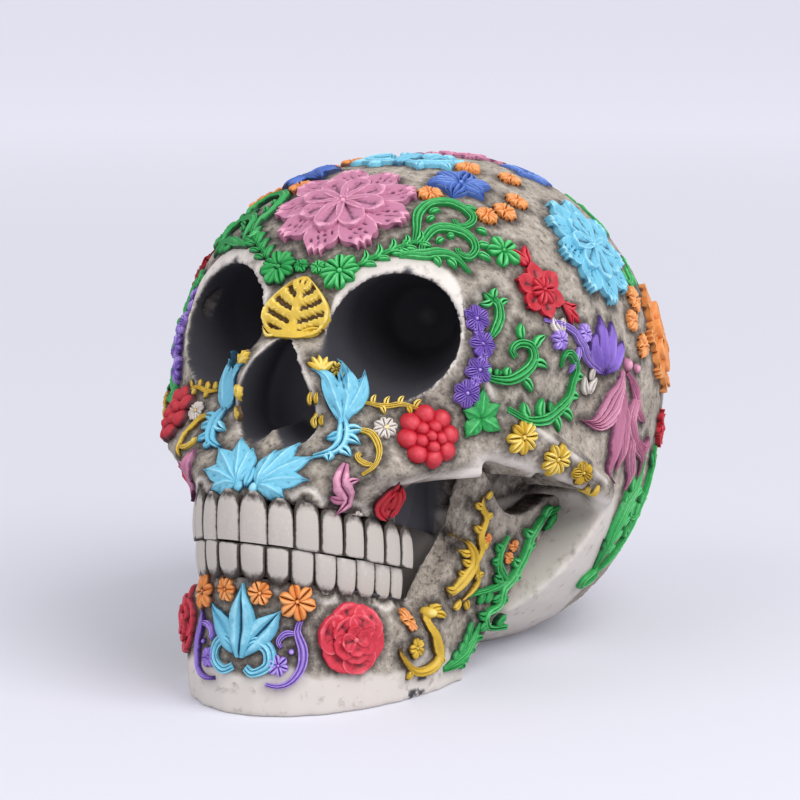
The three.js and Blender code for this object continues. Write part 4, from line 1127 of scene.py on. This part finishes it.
def ramus_vine(flat):
    stem(flat, [(1, 10), (-2.5, 6), (-2, 1.5), (1.5, -3), (-4, -4.5), (-11, -4.5), (-14, -5)], 2.6, 1.7,
         0.4, ribbon, 24)
    stem(flat, [(24, 14.5), (17, 13.5), (11.5, 8.5), (10, 4), (8, 0.5), (5, -3.5), (1.5, -5.5), (0.5, -10),
                (-5, -12), (-2.5, -16.5), (6.5, -18)], 3.0, 1.8, 0.5, creased, 34)
    leaflets(flat, ((22, 14, 17, 9), (16, 13, 20, 16), (12, 9, 8, 11), (10, 4, 14, 6), (8, 1, 4, 3),
                    (5, -3, 9, -4), (-2, 4, -6, 4), (-2, 7, -5, 9), (0, -2, -4, -0.6), (-4, -5, -7, -8),
                    (-8, -4.6, -10, -8), (1, -7, -3.4, -8), (0.6, -10, 5, -9), (-4, -12, -9, -11),
                    (-4, -14, -8, -16), (1, -17, 5, -14)), 2.8, 1.6)


relief("nose_palm", "yellow", (0, -63.5, 102.2), (0, -0.84, 0.54), nose_palm, sides=(1,))
relief("nose_leaf", "sky_blue", (17.5, -69.5, 81.5), (0.25, -0.84, 0.49), nose_leaf)
relief("lip_leaves", "sky_blue", (0, -88, 65.5), (0, -0.84, 0.54), lip_leaves, sides=(1,))
relief("ivy_leaf", "green", (47.8, -49.6, 77), (0.8, -0.6, 0.1), ivy_leaf)
relief("acanthus", "pink", (65, 7, 67.5), (1, -0.1, 0), acanthus)
relief("rear_leaf", "green", (60, 15, 36), (0.93, 0, -0.36), rear_leaf)
relief("angle_leaf", "green", (37, -36.5, 9.5), (0.99, 0.05, -0.1), angle_leaf, on="jaw")
extra("lip_petal", "pink", (24, -82.5, 60), (0.61, -0.71, 0.35), pink_leaf)
relief("ramus_vine", "green", (42.5, -24.5, 29), (0.97, -0.2, -0.15), ramus_vine, on="jaw")

# Tulip, lily, roses and cheek flowers: full flowers in higher relief. The cheek flowers are clusters of red
# beads, the roses are rolled from overlapping petals, the lily has three petals over two volutes.
ROSE = {"Paint": (212, 50, 70), "Shade": (96, 10, 26), "Light": (236, 106, 118)}


def tulip(flat):
    stem(flat, [(-23, 10), (-17, 8), (-12.5, 5.5), (-10.5, 2.5), (-5.5, -3), (-0.5, -6.5), (2.5, -7.5)],
         2.0, 1.6, 0.9, ribbon, 24)
    for line, width in (([(2, -8), (-2.6, -3), (-4.4, 1), (-1, 4)], 4.6),
                        ([(2, -8), (0.6, 0), (2, 8.5)], 5.4), ([(2, -8), (5, -1), (8, 6)], 5.2),
                        ([(2, -8), (7.4, -4.6), (12.4, 0)], 4.8)):
        tongue(flat, line, width, 2.0, combed, 14, 12, 0.6)
    leaflet(flat, (-11, 1), (-13, -6), 2.6, 1.5)


def chin_lily(flat):
    tongue(flat, [(0, -5.5), (0.2, 3), (0.6, 14.5)], 7.2, 2.2, creased, 10, 14, 0.45, 0.3)
    for side in (1, -1):
        tongue(flat, [(side * 0.8, -4.5), (side * 5, 1), (side * 10.8, 8)], 6.6, 1.9, creased, 10, 12, 0.45)
        stem(flat, [(side * u, v) for u, v in ((1, -3.4), (4.6, -0.8), (8, -3), (8.2, -7), (4.6, -9.2),
                                               (2, -8))], 2.9, 1.8, 0.7, ribbon, 22)


def rosebud(flat):
    tongue(flat, [(0.6, -6.6), (0.5, 0), (0.6, 6.8)], 8.6, 1.0, rounded, 10, 12, 0.45)
    for line, width in (([(0.4, -5.8), (-3.2, -1.5), (-0.6, 5.6)], 3.2),
                        ([(1, -5.8), (4.2, -1.5), (1.6, 5.6)], 3.2),
                        ([(-1.2, -3.4), (-0.8, 0), (0.8, 4.4)], 2.8),
                        ([(2.2, -3.4), (2, 0), (0.8, 4.4)], 2.8)):
        tongue(flat, line, width, 1.2, creased, 8, 9, 0.5, 0.7)
    tongue(flat, [(0.5, -2.6), (0.6, 0), (0.7, 3.2)], 2.2, 1.5, rounded, 6, 8, 0.5, 0.9)


def rose(flat):
    for count, start, end, half, tall, turn, base in ((6, 2.0, 9.7, 5.2, 1.8, 0.2, 0.0),
                                                      (5, 0.8, 6.8, 3.8, 1.6, 0.6, 1.0),
                                                      (4, 0.2, 4.2, 2.5, 1.3, 0.1, 1.7)):
        petals(flat, (0, 0), count, start, end, half, tall, spoon, turn, base, 10, 9, None,
               lambda t: petal_width(t, 0.5))
    dome(flat, 0, 0, 1.3, 1.3, 3.1, 8)


def cheek_flower(flat):
    dome(flat, 0, 0, 6.6, 6.6, 1.4, 20)
    for count, off, wide, tall in ((8, 5.9, 2.9, 2.9), (5, 2.9, 2.2, 3.7), (1, 0.0, 2.0, 4.3)):
        for k in range(count):
            angle = math.tau * k / count + 0.2 * count
            dome(flat, off * math.cos(angle), off * math.sin(angle), wide, wide, tall, 14)


paints["rose"] = finish_with("rose_paint", brushed_and_shaded, 0.3, **ROSE)
relief("tulip", "purple", (62.5, -3, 91), (0.98, -0.15, 0.1), tulip)
relief("chin_lily", "sky_blue", (0, -95.5, 21), (0, -1, 0.1), chin_lily, on="jaw", sides=(1,))
relief("rosebud", "red", (30.5, -69, 55.5), (0.82, -0.51, -0.26), rosebud)
relief("rose", "rose", (25.5, -80.5, 20), (0.8, -0.6, 0), rose, on="jaw")
relief("cheek_flower", "red", (39.5, -63, 73), (0.72, -0.65, 0.24), cheek_flower)

# Fillers: the smallest carvings between the flowers, some picked out in yellow or light blue and some left
# in the bare bone colour, with painted shade in their grooves.
BONE = {"Paint": (208, 198, 188), "Shade": (62, 53, 46), "Light": (232, 226, 218)}


def scallop(flat):
    for k in range(5):
        angle = math.radians(30 + 30 * k)
        leaflet(flat, (0, -2.4), (4.4 * math.cos(angle), 4.2 * math.sin(angle) - 2.0), 2.0, 1.3, rounded, 0)


def sprig(flat):
    stem(flat, [(-8, 0.5), (-3, -0.8), (2, -0.6), (8, -2.4)], 1.3, 1.0, 0.5)
    leaflets(flat, ((-6, 0, -5, 2.6), (-2.6, -0.8, -1.4, 2), (1, -0.6, 2.4, 1.8), (5, -1.4, 7, 0.6),
                    (-4, -0.6, -3, -3), (3, -1, 4, -3.4)), 1.5, 1.0)


def leaf_pair(flat):
    leaflets(flat, ((-0.6, -2.6, -2.4, 3.0), (0.4, -2.6, 2.8, 1.8)), 2.6, 1.2)


def marks(flat):
    leaflets(flat, ((-0.8, -2, -0.4, 2), (0.9, -1.6, 1.2, 1.8)), 1.3, 0.9)


paints["bone"] = finish_with("bare_bone_paint", brushed_and_shaded, 0.35, **BONE)
extra("nose_shell", "yellow", (11.6, -72.6, 92.3), (0.6, -0.65, 0.45), scallop)
extra("nose_mark", "yellow", (11.8, -76.9, 83.3), (0.58, -0.74, 0.34), marks)
extra("wing_mark", "yellow", (12.4, -75.4, 77.1), (0.77, -0.63, 0.09), marks)
extra("eye_sprig", "yellow", (30, -64.5, 81.6), (0.48, -0.75, 0.46), sprig)
extra("arch_patch", "yellow", (64.5, -14, 52.1), (0.8, -0.31, -0.5), leaf_pair)
extra("lip_bud", "sky_blue", (2.4, -93.4, 61.5), (0.1, -0.84, 0.54),
      lambda flat: dome(flat, 0, 0, 1.5, 2.0, 1.2))
extra("cheek_daisy", "bone", (29.2, -68.9, 75.3), (0.46, -0.64, 0.61),
      bloom(8, 3.3, 1.1, creased, 0.2, 0.8))
extra("gum_floret", "bone", (25, -77, 52), (0.89, -0.43, -0.16), bloom(6, 2.0, 0.9))
extra("tulip_leaves", "bone", (60.4, -6, 80.2), (0.93, -0.37, 0.02),
      lambda flat: (leaf_pair(flat), leaflet(flat, (0.5, 1), (1.4, 5.4), 2.4, 1.1)))
extra("star_leaves", "bone", (58, -20.6, 99), (0.95, -0.2, 0.23), leaf_pair)

# Back and top: the photograph does not show them, so they repeat the flowers, vines and leaves of the
# sides, pressed to about half their height, in the same colours.
LOW = 0.5


def low_bloom(count, radius):
    def draw(flat):
        flower(flat, 0, 0, count, radius, 2.0, spoon, 0.2, 0.86, reach=notched_end)
        flower(flat, 0, 0, count, 0.5 * radius, 2.6, creased, 0.7, 0.8)

    return draw


def back_vine(flat):
    stem(flat, [(-11, -9), (-5, -6), (0, 0), (3, 7), (9, 9), (12, 5), (9, 2.6)], 2.6, 2.0, 0.5, ribbon, 26)
    leaflets(flat, ((-6, -6, -8.6, -2), (-2, -3, -6, 2), (1, 2, -3, 6), (3, 7, 1, 11.6), (-4, -5, 0, -8),
                    (1, 0, 6, -2.6), (8, 9, 12, 12)), 3.0, 1.9)


def low_relief(name, slot, at, facing, draw, sides=(1, -1)):
    """A relief that is first dropped on the head from a place near it."""
    out = Vector(facing).normalized()
    at = head_face_tree.ray_cast((Vector(at) + out * RELIEF_REACH) * MM, -out)[0] / MM
    relief(name, slot, at, facing, draw, sides=sides, stands=False, rise=LOW)


low_relief("top_rosette", "pink", (0, 33, 138.5), (0, 0.2, 0.98),
           lambda flat: rosette(flat, 15.0, 3.0, 9, 8, 0.5), (1,))
low_relief("top_flower", "cobalt", (25, 29, 135), (0.36, 0.15, 0.92),
           bloom(6, 8.4, 2.0, ridged, 0.25, 0.86, 0.1, pointed_width))
low_relief("top_vine", "green", (41, 42, 122), (0.62, 0.32, 0.72), spiral_vine)
low_relief("side_vine", "green", (57.5, 34, 107), (0.82, 0.25, 0.5), small_vine)
low_relief("back_scroll", "sky_blue", (0, 60, 129), (0, 0.48, 0.88), crown_scroll, (1,))
low_relief("back_hibiscus", "red", (40.6, 65, 105), (0.68, 0.53, 0.5), hibiscus)
low_relief("back_star", "purple", (20.5, 80.5, 107.8), (0.36, 0.72, 0.58), low_bloom(6, 6.4))
low_relief("back_blossoms", "orange", (0, 84, 110), (0, 0.76, 0.65),
           lambda flat: row_of_flowers(flat, [(-6.6, 2.4), (0, -2), (6.6, 2.4)], 7, 3.8, 1.8), (1,))
low_relief("back_blue_rosette", "sky_blue", (49, 70, 74), (0.76, 0.65, 0.03),
           lambda flat: rosette(flat, 12.5, 3.0, 9, 8, 0.2))
low_relief("back_vine", "green", (29, 88, 82), (0.52, 0.83, 0.19), back_vine)
low_relief("back_acanthus", "pink", (30, 83, 44), (0.55, 0.75, -0.36), acanthus)
low_relief("back_lily", "sky_blue", (0, 96, 52), (0, 0.95, -0.3), chin_lily, (1,))
low_relief("back_daisy", "yellow", (53, 60, 46), (0.8, 0.55, -0.24), low_bloom(8, 6.4))
low_relief("back_leaf", "green", (46, 62, 24), (0.66, 0.45, -0.6), back_vine)
low_relief("nape_flower", "purple", (0, 86, 28), (0, 0.75, -0.66), low_bloom(7, 6.4), (1,))

# Painted shade: the ground colour is darkened in the angle round the foot of each relief, in the sheltered
# hollows behind the jaw and round the necks of the teeth, where a thin white gum line is left.
SHADE_REACH = 3.5
NECK = {"wash": (0.7, 1.2), "line": (1.2, 1.6, 2.3, 3.0)}


def tree_of(points):
    tree = KDTree(len(points))
    for order, point in enumerate(points):
        tree.insert(point, order)
    tree.balance()
    return tree


feet = tree_of(relief_feet)
necks = tree_of(tooth_feet)
for bone in (head, jaw):
    off_feet = np.array([feet.find(vert.co)[2] for vert in bone.data.vertices]) / MM
    off_necks = np.array([necks.find(vert.co)[2] for vert in bone.data.vertices]) / MM
    wash = np.maximum(1 - step(0.3, SHADE_REACH, off_feet), 1 - step(*NECK["wash"], off_necks))
    layer = bone.data.attributes["bare"].data
    bare = np.empty(len(layer))
    layer.foreach_get("value", bare)
    give(bone, "wash", np.maximum(wash, cavity_shade[bone.name]) * (1 - 0.75 * bare))
    layer.foreach_set("value", np.maximum(bare, window(*NECK["line"], off_necks)).astype(np.float32))

# Camera and studio: the photograph is taken from the skull's left, a little above it, on a pale seamless
# table under large soft lamps.
VIEW = {"target": (0.0, 13.5, 70.0), "distance": 900.0, "azimuth": 27.0, "elevation": 9.3}
LENS = {"lens": 137.7, "sensor_width": 36.0, "shift_x": -0.035, "shift_y": -0.006}
TABLE = (206, 206, 214)
TABLE_GLOW = (226, 226, 238)
GLOW = {"From Min": 0.3, "From Max": 2.0, "To Min": 0.17, "To Max": 0.52}
BACKDROP = (233, 233, 245)
WORLD_COLOUR = (238, 238, 246)
WORLD_LIGHT = 0.58
LAMPS = {
    "key": {"at": (1.15, -0.35, 1.35), "size": 1.3, "power": 25.0},
    "fill": {"at": (-0.7, -1.2, 1.1), "size": 1.4, "power": 8.0},
}
LIT = (0.0, 0.0, 0.07)

azimuth, elevation = math.radians(VIEW["azimuth"]), math.radians(VIEW["elevation"])
back = Vector((math.sin(azimuth), -math.cos(azimuth), 0.0)) * math.cos(elevation)
back += Vector((0.0, 0.0, math.sin(elevation)))
camera = bpy.data.objects.new("camera", bpy.data.cameras.new("camera"))
camera.location = (Vector(VIEW["target"]) + back * VIEW["distance"]) * MM
camera.rotation_euler = back.to_track_quat("Z", "Y").to_euler()
for label, value in LENS.items():
    setattr(camera.data, label, value)
bpy.context.scene.collection.objects.link(camera)
bpy.context.scene.camera = camera

table_mesh = bmesh.new()
bmesh.ops.create_grid(table_mesh, x_segments=4, y_segments=4, size=6.0)
table_data = bpy.data.meshes.new("table")
table_mesh.to_mesh(table_data)
table_mesh.free()
table = bpy.data.objects.new("table", table_data)
bpy.context.scene.collection.objects.link(table)
table_paint = bpy.data.materials.new("table_paint")
table_paint.use_nodes = True
nodes, link = table_paint.node_tree.nodes, table_paint.node_tree.links.new
shader = nodes["Principled BSDF"]
shader.inputs["Base Color"].default_value = srgb(TABLE)
shader.inputs["Roughness"].default_value = 0.9
shader.inputs["Emission Color"].default_value = srgb(TABLE_GLOW)
far = nodes.new("ShaderNodeVectorMath")
far.operation = "LENGTH"
link(nodes.new("ShaderNodeTexCoord").outputs["Object"], far.inputs[0])
glow = nodes.new("ShaderNodeMapRange")
for label, value in GLOW.items():
    glow.inputs[label].default_value = value
link(far.outputs["Value"], glow.inputs["Value"])
seen = nodes.new("ShaderNodeMath")
seen.operation = "MULTIPLY"
link(glow.outputs["Result"], seen.inputs[0])
link(nodes.new("ShaderNodeLightPath").outputs["Is Camera Ray"], seen.inputs[1])
link(seen.outputs[0], shader.inputs["Emission Strength"])
table.data.materials.append(table_paint)

for name, lamp in LAMPS.items():
    light = bpy.data.lights.new(name, "AREA")
    light.size = lamp["size"]
    light.energy = lamp["power"]
    item = bpy.data.objects.new(name, light)
    item.location = lamp["at"]
    item.rotation_euler = (Vector(lamp["at"]) - Vector(LIT)).to_track_quat("Z", "Y").to_euler()
    bpy.context.scene.collection.objects.link(item)
world = bpy.data.worlds.new("studio")
bpy.context.scene.world = world
world.use_nodes = True
nodes, link = world.node_tree.nodes, world.node_tree.links.new
nodes["Background"].inputs["Color"].default_value = srgb(WORLD_COLOUR)
nodes["Background"].inputs["Strength"].default_value = WORLD_LIGHT
backdrop = nodes.new("ShaderNodeBackground")
backdrop.inputs["Color"].default_value = srgb(BACKDROP)
path = nodes.new("ShaderNodeLightPath")
shown = path.outputs["Is Camera Ray"]
for ray in ("Is Glossy Ray", "Is Transmission Ray"):
    either = nodes.new("ShaderNodeMath")
    either.operation = "MAXIMUM"
    link(shown, either.inputs[0])
    link(path.outputs[ray], either.inputs[1])
    shown = either.outputs[0]
choice = nodes.new("ShaderNodeMixShader")
link(shown, choice.inputs[0])
link(nodes["Background"].outputs[0], choice.inputs[1])
link(backdrop.outputs[0], choice.inputs[2])
link(choice.outputs[0], nodes["World Output"].inputs["Surface"])
bpy.context.scene.view_settings.view_transform = "Standard"
